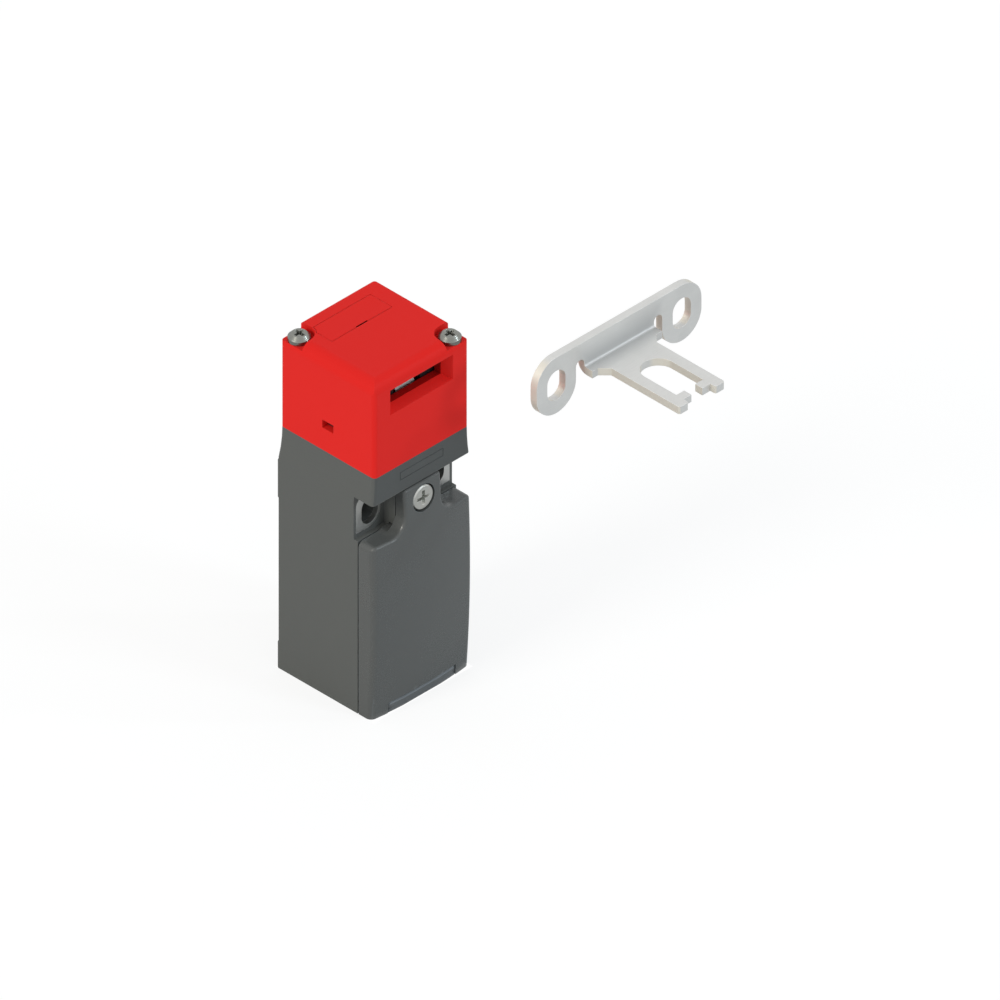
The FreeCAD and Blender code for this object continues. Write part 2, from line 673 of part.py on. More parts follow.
def arc_edge(r, start, end):
    return Part.Arc(polar(r, start), polar(r, (start + end) / 2), polar(r, end)).toShape()


def cam_outline():
    """Horn, tooth rim, hub, lift curve and low rim, counted from the front upwards."""
    step = (270 - cam_back_from) / cam_curve_steps
    lift_curve = Part.BSplineCurve()
    lift_curve.interpolate([cam_point(cam_back_from + step * i) for i in range(cam_curve_steps + 1)])
    high, rate = cam_low_r + cam_lift, cam_lift / radians(cam_turn)
    rim = sqrt(high ** 2 + rate ** 2)
    rim_from = 270 + 180 / pi * rate / high
    edges = [
        line(polar(hub_r, horn_from), polar(horn_r, horn_from)),
        arc_edge(horn_r, horn_from, horn_to),
        line(polar(horn_r, horn_to), polar(tooth_r, horn_to)),
        arc_edge(tooth_r, horn_to, tooth_to),
        line(polar(tooth_r, tooth_to), polar(hub_r, heel_from)),
        arc_edge(hub_r, heel_from, heel_to),
        line(polar(hub_r, heel_to), cam_point(cam_back_from)),
        lift_curve.toShape(),
    ]
    if (cam_point(270) - polar(rim, rim_from)).Length > 1e-4:
        edges.append(line(cam_point(270), polar(rim, rim_from)))
    edges += [
        arc_edge(rim, rim_from, rim_to),
        line(polar(rim, rim_to), polar(hub_r, rim_end)),
        arc_edge(hub_r, rim_end, 360 + horn_from),
    ]
    return Part.Wire(edges)


def make_driver_cam():
    cam = Part.Face(cam_outline()).extrude(V(2 * cam_half, 0, 0))
    cam.translate(V(-cam_half, 0, 0))
    return cam.cut(cam_notches(cam_half + over)).cut(axle_hole(running_gap))


def axle_hole(gap):
    return cyl(axle_r + gap, (-past, 0, cam_z), (1, 0, 0), 2 * past)


def cam_notches(half):
    """The two notches that the key's hooks take, a right angle apart: front entry and top entry."""
    cutters = []
    for angle in (notch_mid, notch_mid + 90):
        cutter = box(-half, half, -past, -notch_floor, cam_z - notch_w / 2, cam_z + notch_w / 2)
        cutter.rotate(V(0, 0, cam_z), V(1, 0, 0), -angle)
        cutters.append(cutter)
    return cutters[0].fuse(cutters[1])


def make_code_discs():
    inner = cam_half + disc_gap
    disc = cyl(disc_rim, (inner, 0, cam_z), (1, 0, 0), disc_t)
    disc = disc.common(box(0, past, -past, past, cam_z + disc_low, cam_z + past))
    disc = disc.fuse(cyl(disc_hub_r, (inner, 0, cam_z), (1, 0, 0), disc_t))
    return Part.makeCompound(both_sides(disc.cut(cam_notches(past)).cut(axle_hole(running_gap))))


def make_cam_axle():
    half = cheek_out - cheek_gap
    return cyl(axle_r, (-half, 0, cam_z), (1, 0, 0), 2 * half)


def make_cam_carrier():
    """A cradle pushed up into the head: two cheeks that hold the axle, on a foot with the plunger's hole."""
    carrier = box(-cheek_out, cheek_out, -carrier_front, foot_back, seat + foot_low, seat + foot_high)
    carrier = carrier.cut(cyl(neck_bore_r, (0, 0, seat), (0, 0, 1), past))
    cheek = box(cheek_in, cheek_out, -carrier_front, carrier_back, seat + foot_low, cam_z + carrier_rise)
    half = window_w / 2 - lug_gap
    lug = box(cheek_out - over, head_half - lug_skin, -window_mid - half, -window_mid + half,
              seat + window_low + lug_gap, seat + window_high - lug_gap)
    for side in both_sides(cheek.fuse(lug)):
        carrier = carrier.fuse(side)
    half = cheek_out - cheek_gap
    carrier = carrier.cut(cyl(axle_r, (-half, 0, cam_z), (1, 0, 0), 2 * half))
    for x, y in head_screw_places():
        carrier = carrier.cut(cyl(screw_boss_r + boss_gap, (x, y, seat - over), (0, 0, 1), head_top - seat))
    return carrier.removeSplitter()


# ---------------------------------------------------------------- plunger
def make_plunger():
    cap = cyl(plunger_cap_r, (0, 0, plunger_top - plunger_cap_t), (0, 0, 1), plunger_cap_t)
    stem = cyl(plunger_r, (0, 0, plunger_low), (0, 0, 1), plunger_top - plunger_low)
    return bevel_where(cap.fuse(stem).removeSplitter(), plunger_bevel, lambda p: near(p.z, plunger_top))


def make_plunger_seal():
    ring = cyl(neck_bore_r - seal_gap, (0, 0, neck_bore_floor), (0, 0, 1), seal_t)
    return ring.cut(cyl(plunger_r + running_gap, (0, 0, 0), (0, 0, 1), seat))


def make_spring_seat():
    ring = cyl(neck_bore_r - seat_gap, (0, 0, neck_bore_floor + seal_t), (0, 0, 1), seat_t)
    return ring.cut(cyl(plunger_r + seat_gap, (0, 0, 0), (0, 0, 1), seat))


def make_plunger_spring():
    low = neck_bore_floor + seal_t + seat_t
    return coil_sleeve(0, 0, low, plunger_top - plunger_cap_t, plunger_r + spring_room, spring_wire)


# ---------------------------------------------------------------- contact block
def terminals():
    """Each terminal's side and height, and the low and high face of its contact arm."""
    places = []
    for side in (-1, 1):
        for z, top in zip(terminal_z, bridge_top):
            low = top + cam_lift + touch_gap + tip_t
            places.append((side, z, low, low + arm_t))
    return places


def make_contact_base():
    base = box(-block_half, block_half, -block_front, block_back, block_top - step_drop, block_top)
    base = base.fuse(box(-block_half, block_half, -block_face, block_back, block_low, block_top))
    half = block_half - block_wall
    base = base.cut(box(-half, half, -block_inner, block_back + over,
                        block_low + block_floor_t, block_top - block_wall))
    for side, z, arm_low, arm_high in terminals():
        niche = box(niche_in, block_half - niche_wall, -past, -block_face, z - niche_half, z + niche_half)
        base = base.cut(niche if side > 0 else both_sides(niche)[1])
        x, half = side * arm_x, arm_w / 2 + arm_gap
        base = base.cut(box(x - half, x + half, -block_face - over, 0, arm_low - arm_gap, arm_high + arm_gap))
        base = base.cut(cyl(terminal_hole_r, (side * terminal_x, -past, z), (0, 1, 0),
                            past - block_face + terminal_hole_deep))
    rail_x = slide_half + rail_gap
    rail = box(rail_x, rail_x + rail_t, -block_inner, rail_back, block_low, block_top)
    for side in both_sides(rail) + both_sides(screw_flange()):
        base = base.fuse(side)
    base = base.cut(cyl(slide_nub_r + running_gap, (0, 0, slide_top - rail_gap), (0, 0, 1), past))
    for side in (-1, 1):
        place = (side * block_screw_x, -past, block_screw_z)
        base = base.cut(cyl(block_screw_clear_r, place, (0, 1, 0), 2 * past))
        base = base.cut(cyl(block_screw_head_r + block_screw_gap, place, (0, 1, 0),
                            past + block_back - block_flange_t))
    return base.removeSplitter()


def screw_flange():
    """The solid corner at the block's foot that a fixing screw goes through."""
    return box(block_screw_x - flange_side, block_half, block_inner, block_back,
               block_low, block_screw_z + flange_up)


def make_contact_lid():
    lid = rounded_block(-block_half, block_half, block_back, lid_back, lid_corner,
                        block_screw_z + lid_up, block_top)
    half = block_half - lid_groove_end
    for z in terminal_z:
        lid = lid.cut(box(-half, half, lid_back - lid_groove_deep, lid_back + over,
                          z - lid_groove_half, z + lid_groove_half))
    return lid


def make_contact_slide():
    """The moving carrier of the two bridges, with its windows and the round nub that the plunger meets."""
    column = box(-slide_half, slide_half, -slide_front, block_back - block_back_gap, slide_low, slide_top)
    foot = slide_low + nub_foot
    nub = cyl(slide_nub_r, (0, 0, foot), (0, 0, 1), nub_top - foot)
    nub = nub.cut(box(-past, past, -past, -slide_front, 0, slide_top))
    slide = column.fuse(nub)
    half = bridge_w / 2 + bridge_gap
    for top in bridge_top:
        slide = slide.cut(box(-past, past, bridge_y - half, bridge_y + half, top - window_h, top))
    cup = cyl(slide_spring_cup_r, (0, slide_spring_y, slide_low - over), (0, 0, 1), over + slide_spring_cup)
    return slide.cut(cup).removeSplitter()


def make_contact_bridges():
    y0, y1 = bridge_y - bridge_w / 2, bridge_y + bridge_w / 2
    return Part.makeCompound([
        box(-bridge_half, bridge_half, y0, y1, top - bridge_t, top) for top in bridge_top])


def make_bridge_springs():
    return Part.makeCompound([
        coil_sleeve(0, bridge_y, top - window_h, top - bridge_t, bridge_spring_r, bridge_spring_wire)
        for top in bridge_top])


def make_slide_spring():
    return coil_sleeve(0, slide_spring_y, block_low + block_floor_t, slide_low + slide_spring_cup,
                       slide_spring_r, slide_spring_wire)


def make_fixed_contacts():
    """Four bent contacts: a pad under the terminal screw, and an arm back over the bridge's end."""
    solids = []
    for side, z, arm_low, arm_high in terminals():
        x, tx = side * arm_x, side * terminal_x
        pad = box(tx - pad_half, tx + pad_half, -block_face - pad_t, -block_face, z - pad_half, z + pad_half)
        arm = box(x - arm_w / 2, x + arm_w / 2, -block_face - pad_t, bridge_y + bridge_w / 2,
                  arm_low, arm_high)
        hole = cyl(m3_crest_r, (tx, -past, z), (0, 1, 0), past)
        solids.append(pad.cut(hole).fuse(arm).removeSplitter())
    return Part.makeCompound(solids)


def make_contact_tips():
    return Part.makeCompound([
        cyl(tip_r, (side * arm_x, bridge_y, arm_low - tip_t), (0, 0, 1), tip_t)
        for side, _, arm_low, _ in terminals()])


def make_terminal_clamps():
    solids = []
    back = -block_face - pad_t - clamp_gap
    for side, z, _, _ in terminals():
        x = side * terminal_x
        plate = box(x - clamp_half, x + clamp_half, back - clamp_t, back, z - clamp_half, z + clamp_half)
        solids.append(plate.cut(cyl(m3_crest_r, (x, -past, z), (0, 1, 0), 2 * past)))
    return Part.makeCompound(solids)


def make_terminal_screws():
    under = -block_face - pad_t - clamp_gap - clamp_t
    places = [(side * terminal_x, z) for side, z, _, _ in terminals()]
    return cheese_head_screws(places, under, terminal_screw_r, terminal_screw_h, terminal_screw_len)


def make_block_screws():
    places = [(side * block_screw_x, block_screw_z) for side in (-1, 1)]
    under = block_back - block_flange_t
    return cheese_head_screws(places, under, block_screw_head_r, block_screw_head_h, block_screw_len)


def cheese_head_screws(places, under, head_r, head_h, length):
    """M3 screws driven from the front, with the underside of their heads at y = under."""
    solids = []
    for x, z in places:
        head = cyl(head_r, (x, under, z), (0, -1, 0), head_h)
        head = head.cut(cross_recess((x, under - head_h, z), (0, -1, 0), m3_recess, m3_recess_deep))
        solids.append(head.fuse(cyl(m3_root_r, (x, under, z), (0, 1, 0), length)))
    return Part.makeCompound(solids)


# ---------------------------------------------------------------- key
def make_key():
    """One bent sheet: a plate with two slotted ears, and a forked tongue bent out of its lower edge."""
    front, back = -key_plate_front, -key_plate_front + key_t
    hole_z = tongue_z + key_hole_rise
    tongue_top = tongue_z + key_t / 2
    half = key_pitch / 2
    plate = box(key_x - half, key_x + half, front, back, tongue_top + key_relief_rise,
                hole_z + key_ear_straight / 2 + key_ear_r)
    for x in (key_x - half, key_x + half):
        plate = plate.fuse(slot_x(x, hole_z, 2 * key_ear_r, 2 * key_ear_r + key_ear_straight, front, back))
    plate = plate.fuse(box(key_x - key_relief_half, key_x + key_relief_half, front, back,
                           tongue_top, tongue_top + 2 * key_relief_rise))
    relief_x = (key_relief_half + half - key_ear_r) / 2
    relief_r = (half - key_ear_r - key_relief_half) / 2
    for side in (-1, 1):
        relief = (key_x + side * relief_x, -past * 2, tongue_top + key_relief_rise)
        plate = plate.cut(cyl(relief_r, relief, (0, 1, 0), 2 * past))
        hole = slot_x(key_x + side * half, hole_z, key_hole_w, key_hole_h, front - over, back + over)
        plate = plate.cut(hole)
    bend_top = tongue_top + key_bend_r
    plate = plate.cut(box(key_x - key_relief_half, key_x + key_relief_half, front - over, back + over,
                          tongue_top - over, bend_top))
    return plate.fuse(key_bend(front - key_bend_r, bend_top)).fuse(key_tongue(tongue_top)).removeSplitter()


def key_bend(y, z):
    """A quarter of a tube about the bend's axis, which runs along X."""
    low, width = key_x - key_relief_half, 2 * key_relief_half
    outer_r = key_bend_r + key_t
    bend = cyl(outer_r, (low, y, z), (1, 0, 0), width).cut(cyl(key_bend_r, (low, y, z), (1, 0, 0), width))
    return bend.common(box(low, low + width, y, y + outer_r, z - outer_r, z))


def key_tongue(tongue_top):
    """The fork: a stepped root, a round-ended gap, and a hook inwards near the tip of each arm."""
    low = tongue_top - key_t
    root, shoulder = key_bend_r, key_base_len
    waist = key_relief_half - key_base_step
    half_outline = [
        (key_relief_half, root),
        (key_relief_half, shoulder),
        (waist, shoulder),
        (key_tongue_half, shoulder + waist - key_tongue_half),
        (key_tongue_half, key_tip),
        (key_fork_half, key_tip),
        (key_fork_half, key_hook_to),
        (key_hook_half, key_hook_to),
        (key_hook_half, key_hook_from),
        (key_fork_half, key_hook_from),
        (key_fork_half, key_fork_end),
        (0, key_fork_end),
        (0, root),
    ]
    arm = prism([(x, -key_plate_front - out, low) for x, out in half_outline], (0, 0, key_t))
    tip_y = -key_plate_front - key_tip
    arm = fillet_where(arm, key_tip_r, lambda p: near(p.y, tip_y) and (
        near(p.x, key_tongue_half) or near(p.x, key_fork_half)))
    fork = arm.fuse(both_sides(arm)[1]).removeSplitter().fuse(fork_end_fill(low))
    fork.translate(V(key_x, 0, 0))
    return fork


def fork_end_fill(low):
    """What makes the gap's inner end round: a block less a cylinder."""
    centre = -key_plate_front - key_fork_end - key_fork_half
    block = box(-key_fork_half, key_fork_half, centre, centre + key_fork_half, low, low + key_t)
    return block.cut(cyl(key_fork_half, (0, centre, low - over), (0, 0, 1), key_t + 2 * over))


# ---------------------------------------------------------------- output
NODES = {
    "housing": make_housing,
    "ear_plates": make_ear_plates,
    "cover": make_cover,
    "cover_gasket": make_cover_gasket,
    "cover_screw": make_cover_screw,
    "head": make_head,
    "head_gasket": make_head_gasket,
    "head_screws": make_head_screws,
    "slot_plug": make_slot_plug,
    "cam_carrier": make_cam_carrier,
    "cam_axle": make_cam_axle,
    "driver_cam": make_driver_cam,
    "code_discs": make_code_discs,
    "plunger": make_plunger,
    "plunger_seal": make_plunger_seal,
    "spring_seat": make_spring_seat,
    "plunger_spring": make_plunger_spring,
    "contact_base": make_contact_base,
    "contact_lid": make_contact_lid,
    "contact_slide": make_contact_slide,
    "contact_bridges": make_contact_bridges,
    "bridge_springs": make_bridge_springs,
    "slide_spring": make_slide_spring,
    "fixed_contacts": make_fixed_contacts,
    "contact_tips": make_contact_tips,
    "terminal_clamps": make_terminal_clamps,
    "terminal_screws": make_terminal_screws,
    "block_screws": make_block_screws,
    "actuator_key": make_key,
}


def main():
    os.makedirs("parts", exist_ok=True)
    for name, make in NODES.items():
        shape = make()
        shape.exportStep(f"parts/{name}.step")
        print(f"{name}: {len(shape.Solids)} solids, {shape.Volume:.1f} mm3, valid {shape.isValid()}")


main()
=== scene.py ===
"""Looks of a tongue interlock switch and its forked key, laid out as an add-on and run as a script."""
import bmesh
import bpy
from math import cos, radians, sin, tau
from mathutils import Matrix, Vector


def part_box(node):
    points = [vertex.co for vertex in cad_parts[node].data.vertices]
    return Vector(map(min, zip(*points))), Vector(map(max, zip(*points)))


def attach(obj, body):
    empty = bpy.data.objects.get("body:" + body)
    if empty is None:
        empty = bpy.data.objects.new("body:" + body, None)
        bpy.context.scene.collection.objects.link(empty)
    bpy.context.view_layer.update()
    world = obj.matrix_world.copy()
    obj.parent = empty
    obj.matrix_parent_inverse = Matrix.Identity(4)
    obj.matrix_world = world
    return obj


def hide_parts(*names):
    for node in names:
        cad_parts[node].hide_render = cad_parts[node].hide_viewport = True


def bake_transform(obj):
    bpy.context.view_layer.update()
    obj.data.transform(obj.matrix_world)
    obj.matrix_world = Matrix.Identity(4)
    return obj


bl_info = {
    "name": "Tongue interlock switch looks",
    "version": (1, 0, 0),
    "blender": (4, 5, 0),
    "location": "3D View > Sidebar > Switch",
    "description": "Finishes, springs, screw threads and a studio for a guard switch with a forked key",
    "category": "Object",
}

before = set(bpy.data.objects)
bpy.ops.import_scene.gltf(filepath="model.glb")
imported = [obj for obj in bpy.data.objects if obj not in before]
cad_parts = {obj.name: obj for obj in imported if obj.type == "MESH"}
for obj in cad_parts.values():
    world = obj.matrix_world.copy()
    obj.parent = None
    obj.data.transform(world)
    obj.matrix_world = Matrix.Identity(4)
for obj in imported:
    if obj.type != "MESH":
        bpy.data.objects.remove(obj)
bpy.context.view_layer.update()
MM = 0.001
FLOOR_HALF = 3.0             # half the floor's side
FLOOR_DROP = 0.02 * MM       # the floor lies this far under the base
FLOOR_GAP = 0.1 * MM         # room round the housing where the floor is open
BRIDGE_T = 0.6 * MM          # thickness of a contact bridge
FOLD_SHADE_FADE = 4.5 * MM         # soft margin of the painted shade by the key's fold
CLIP_NEAR = 0.01             # nearest that the camera takes in
CLIP_FAR = 10.0              # farthest that the camera takes in

# How fine a metal's grain is along each axis.
EVEN_GRAIN = (300.0, 300.0, 300.0)
CAST_GRAIN = (200.0, 200.0, 200.0)
SHEET_LINES = (40.0, 900.0, 900.0)   # lines along X

# Places on the switch and key at rest, as the low and high corner of a box in millimetres.
# The hinge bar: its front carries painted light, and its edges look rounder.
HINGE_BAR = ((-10.7, -17.0, 0.0), (10.7, -12.5, 2.9))
# Painted highlight along the hinge bar's upper edge.
HINGE_BAR_HIGHLIGHT = ((-10.1, -17.0, 2.1), (10.1, -12.5, 2.75))
# Painted shade on the neck's front, under the head.
NECK_FRONT_SHADE = ((-15.4, -17.0, 59.3), (15.4, -14.8, 66.6))
# Painted shade in the pry slit.
PRY_SLIT_SHADE = ((-1.3, 4.2, 90.4), (2.5, 5.0, 91.9))
# Painted shade in the key slot's throat.
SLOT_THROAT_SHADE = ((-8.7, -12.5, 82.0), (8.7, 4.0, 88.8))
LEFT_DISC = ((-5.0, -10.0, 70.0), (0.0, 10.0, 90.0))
# Painted shade on the key's plate above the fold.
KEY_FOLD_SHADE = ((31.0, -37.6, 84.5), (50.0, -37.2, 88.5))


# ---------------------------------------------------------------- sizes and colours
class SwitchFinish(bpy.types.PropertyGroup):
    """Colours and surface detail of the switch and its key."""

    body: bpy.props.FloatVectorProperty(
        name="Body", description="Grey moulding of the housing", subtype="COLOR", size=3,
        default=(0.112, 0.117, 0.112))
    cover: bpy.props.FloatVectorProperty(
        name="Cover", description="Grey moulding of the terminal cover", subtype="COLOR", size=3,
        default=(0.102, 0.107, 0.105))
    # Painted highlight on the cover's edges, with some handling wear.
    cover_rub_and_highlight: bpy.props.FloatVectorProperty(
        name="Cover's edges", description="Paler, handled edges of the cover", subtype="COLOR", size=3,
        default=(0.20, 0.225, 0.24))
    # Painted light: the hinge bar's front, in the housing's own grey, made lighter and bluer.
    bar: bpy.props.FloatVectorProperty(
        name="Hinge bar", description="The hinge bar's front", subtype="COLOR", size=3,
        default=(0.125, 0.134, 0.138))
    # Painted highlight along the hinge bar's upper edge, lit rather than worn.
    bar_top_highlight: bpy.props.FloatVectorProperty(
        name="Hinge bar's top", description="Its upper edge, worn lighter by the cover", subtype="COLOR",
        size=3, default=(0.225, 0.245, 0.260))
    # Painted shade: the neck's front, in the housing's own grey, made darker under the overhanging head.
    neck: bpy.props.FloatVectorProperty(
        name="Neck front", description="The neck's front, under the head", subtype="COLOR", size=3,
        default=(0.084, 0.090, 0.089))
    head: bpy.props.FloatVectorProperty(
        name="Head", description="Red moulding of the head and its plug", subtype="COLOR", size=3,
        default=(0.85, 0.023, 0.019))
    # Painted highlight on the head's edges, with some handling wear.
    head_rub_and_highlight: bpy.props.FloatVectorProperty(
        name="Head's edges", description="Brighter, handled edges of the head", subtype="COLOR", size=3,
        default=(0.88, 0.05, 0.04))
    # Painted shade deep in the pry slit.
    slit: bpy.props.FloatVectorProperty(
        name="Pry slit", description="Depth of the slit that the plug is levered out by", subtype="COLOR",
        size=3, default=(0.05, 0.001, 0.001))
    # Painted shade on the red inside the key slot.
    throat: bpy.props.FloatVectorProperty(
        name="Slot throat", description="Red inside the key slot", subtype="COLOR", size=3,
        default=(0.42, 0.008, 0.007))
    black: bpy.props.FloatVectorProperty(
        name="Black parts", description="Black mouldings inside", subtype="COLOR", size=3,
        default=(0.016, 0.016, 0.017))
    natural: bpy.props.FloatVectorProperty(
        name="Natural parts", description="Off-white slick mouldings of the moving parts", subtype="COLOR",
        size=3, default=(0.60, 0.58, 0.52))
    smoke: bpy.props.FloatVectorProperty(
        name="Lid", description="Grey lid of the contact block", subtype="COLOR", size=3,
        default=(0.25, 0.27, 0.25))
    rubber: bpy.props.FloatVectorProperty(
        name="Rubber", description="Gaskets and seal", subtype="COLOR", size=3,
        default=(0.022, 0.022, 0.022))
    key: bpy.props.FloatVectorProperty(
        name="Key", description="Stamped steel of the key", subtype="COLOR", size=3,
        default=(0.73, 0.722, 0.705))
    # Painted shade on the key's plate above the fold, in the key's own steel.
    fold: bpy.props.FloatVectorProperty(
        name="Fold", description="Duller steel of the key's plate above the fold", subtype="COLOR", size=3,
        default=(0.55, 0.55, 0.545))
    shear: bpy.props.FloatVectorProperty(
        name="Sheared edges", description="Warmer tone of the key's cut edges", subtype="COLOR", size=3,
        default=(0.80, 0.76, 0.68))
    zinc: bpy.props.FloatVectorProperty(
        name="Plated parts", description="Zinc plate of the cover screw, terminals and parts inside",
        subtype="COLOR", size=3, default=(0.52, 0.525, 0.50))
    screw: bpy.props.FloatVectorProperty(
        name="Head screws", description="Duller plate of the head's two screws", subtype="COLOR", size=3,
        default=(0.235, 0.24, 0.22))
    ear: bpy.props.FloatVectorProperty(
        name="Ear plates", description="Brighter plate of the two ear plates", subtype="COLOR", size=3,
        default=(0.56, 0.565, 0.55))
    disc: bpy.props.FloatVectorProperty(
        name="Grey disc", description="The left code disc, which is grey and not black", subtype="COLOR",
        size=3, default=(0.15, 0.16, 0.17))
    cast: bpy.props.FloatVectorProperty(
        name="Driver", description="Die-cast driver in the head", subtype="COLOR", size=3,
        default=(0.40, 0.40, 0.385))
    brass: bpy.props.FloatVectorProperty(
        name="Brass", description="Contact bridges and fixed contacts", subtype="COLOR", size=3,
        default=(0.66, 0.44, 0.17))
    silver: bpy.props.FloatVectorProperty(
        name="Silver", description="Contact rivets", subtype="COLOR", size=3, default=(0.74, 0.73, 0.70))
    wire: bpy.props.FloatVectorProperty(
        name="Spring wire", description="Bright steel of the springs", subtype="COLOR", size=3,
        default=(0.42, 0.42, 0.42))
    spark: bpy.props.FloatProperty(
        name="Mould grain", description="Size of the mould's fine grain", default=0.22 * MM, unit="LENGTH")
    spark_depth: bpy.props.FloatProperty(
        name="Grain depth", description="Depth of the mould's fine grain", default=0.006 * MM, unit="LENGTH")
    line_depth: bpy.props.FloatProperty(
        name="Line depth", description="Depth of the metal's fine lines", default=0.0008 * MM, unit="LENGTH")
    bar_edge: bpy.props.FloatProperty(
        name="Bar edge", description="Softness of the hinge bar's edges", default=0.7 * MM, unit="LENGTH")
    edge: bpy.props.FloatProperty(
        name="Edge round", description="Radius that a sharp moulded edge is softened by", default=0.16 * MM,
        unit="LENGTH")


class SpringSizes(bpy.types.PropertyGroup):
    """Coil springs: wire and turns. Their diameters and lengths come from the CAD parts that they stand in
    for.
    """

    plunger_wire: bpy.props.FloatProperty(
        name="Plunger wire", description="Wire of the plunger's spring", default=0.6 * MM, unit="LENGTH")
    plunger_turns: bpy.props.FloatProperty(
        name="Plunger turns", description="Turns of the plunger's spring", default=5.0)
    slide_wire: bpy.props.FloatProperty(
        name="Slide wire", description="Wire of the contact slide's spring", default=0.45 * MM, unit="LENGTH")
    slide_turns: bpy.props.FloatProperty(
        name="Slide turns", description="Turns of the contact slide's spring", default=6.0)
    bridge_wire: bpy.props.FloatProperty(
        name="Bridge wire", description="Wire of the two contact springs", default=0.35 * MM, unit="LENGTH")
    bridge_turns: bpy.props.FloatProperty(
        name="Bridge turns", description="Turns of each contact spring", default=5.0)


class ThreadSizes(bpy.types.PropertyGroup):
    """Threads of the cover screw and of the conduit entry."""

    screw_root: bpy.props.FloatProperty(
        name="Screw root", description="Root radius of the cover screw's thread", default=1.6 * MM,
        unit="LENGTH")
    screw_crest: bpy.props.FloatProperty(
        name="Screw crest", description="Crest radius of the cover screw's thread", default=1.95 * MM,
        unit="LENGTH")
    screw_pitch: bpy.props.FloatProperty(
        name="Screw pitch", description="Pitch of the cover screw's thread", default=0.7 * MM,
        unit="LENGTH")
    screw_length: bpy.props.FloatProperty(
        name="Screw thread", description="Length of the cover screw's thread", default=3.0 * MM,
        unit="LENGTH")
    screw_start: bpy.props.FloatProperty(
        name="Screw start", description="From the shank's tip back to the start of its thread",
        default=3.2 * MM, unit="LENGTH")
    entry_root: bpy.props.FloatProperty(
        name="Entry root", description="Root radius of the conduit entry's thread", default=9.28 * MM,
        unit="LENGTH")
    entry_crest: bpy.props.FloatProperty(
        name="Entry crest", description="Crest radius of the conduit entry's thread", default=8.6 * MM,
        unit="LENGTH")
    entry_pitch: bpy.props.FloatProperty(
        name="Entry pitch", description="Pitch of the conduit entry's thread", default=1.5 * MM,
        unit="LENGTH")
    entry_length: bpy.props.FloatProperty(
        name="Entry thread", description="Length of the conduit entry's thread", default=9.6 * MM,
        unit="LENGTH")
    entry_start: bpy.props.FloatProperty(
        name="Entry start", description="From the base up to the start of the entry's thread",
        default=0.9 * MM, unit="LENGTH")


class StageSetup(bpy.types.PropertyGroup):
    """Camera, floor and lights."""

    azimuth: bpy.props.FloatProperty(
        name="Azimuth", description="Camera's turn round the object from the front", subtype="ANGLE",
        default=radians(-45))
    elevation: bpy.props.FloatProperty(
        name="Elevation", description="Camera's height above the horizon, as an isometric view has it",
        subtype="ANGLE", default=radians(35.264))
    width: bpy.props.FloatProperty(
        name="View width", description="Width that the camera takes in", default=225.5 * MM, unit="LENGTH")
    distance: bpy.props.FloatProperty(
        name="Camera distance", description="From the camera to the point that it looks at",
        default=500.0 * MM, unit="LENGTH")
    aim: bpy.props.FloatVectorProperty(
        name="Aim", description="Point that the camera looks at", subtype="TRANSLATION", size=3,
        default=(20.0 * MM, -20.0 * MM, 46.0 * MM))
    sky: bpy.props.FloatProperty(name="Sky", description="Even light from all round", default=0.52)
    sky_tint: bpy.props.FloatVectorProperty(
        name="Sky tint", description="Colour of the even light", subtype="COLOR", size=3,
        default=(0.95, 0.98, 1.0))
    lamp: bpy.props.FloatProperty(name="Lamp", description="Strength of the main lamp", default=1.2)
    lamp_tint: bpy.props.FloatVectorProperty(
        name="Lamp tint", description="Colour of the main lamp", subtype="COLOR", size=3,
        default=(1.0, 0.95, 0.86))
    lamp_side: bpy.props.FloatVectorProperty(
        name="Lamp's side", description="Where the main lamp's light comes from", subtype="DIRECTION",
        size=3, default=(-0.85, 0.10, 0.51))
    lamp_size: bpy.props.FloatProperty(
        name="Lamp's size", description="Angle that the main lamp fills, which softens its shadows",
        subtype="ANGLE", default=radians(22.0))
    front: bpy.props.FloatProperty(
        name="Front lamp", description="Strength of the lamp in front", default=0.60)
    front_tint: bpy.props.FloatVectorProperty(
        name="Front tint", description="Colour of the front and edge lamps", subtype="COLOR", size=3,
        default=(0.80, 0.92, 1.0))
    front_side: bpy.props.FloatVectorProperty(
        name="Front lamp's side", description="Where the front lamp's light comes from", subtype="DIRECTION",
        size=3, default=(0.30, -0.85, 0.43))
    front_size: bpy.props.FloatProperty(
        name="Front lamp's size", description="Angle that the front lamp fills", subtype="ANGLE",
        default=radians(14.0))
    rim: bpy.props.FloatProperty(
        name="Edge lamp", description="Strength of the lamp that glints on edges", default=0.22)
    rim_side: bpy.props.FloatVectorProperty(
        name="Edge lamp's side", description="Where the edge lamp's light comes from", subtype="DIRECTION",
        size=3, default=(0.577, -0.577, 0.577))
    rim_size: bpy.props.FloatProperty(
        name="Edge lamp's size", description="Angle that the edge lamp fills", subtype="ANGLE",
        default=radians(4.0))
    floor: bpy.props.FloatVectorProperty(
        name="Floor", description="Colour that the floor throws back on the object", subtype="COLOR", size=3,
        default=(0.80, 0.80, 0.80))
    floor_seen: bpy.props.FloatProperty(
        name="Floor seen", description="Grey of the floor to the camera, which sets how dark its shadow is",
        subtype="FACTOR", default=0.26)
    floor_lift: bpy.props.FloatProperty(
        name="Floor lift", description="How much the floor glows to the camera, to read as white",
        default=0.80)


# ---------------------------------------------------------------- shader node groups
def group_socket(group, name, kind, way, default=None):
    """Adds one named socket to a node group's input or output side."""
    socket = group.interface.new_socket(name=name, in_out=way, socket_type=kind)
    if default is not None:
        socket.default_value = default
    return socket


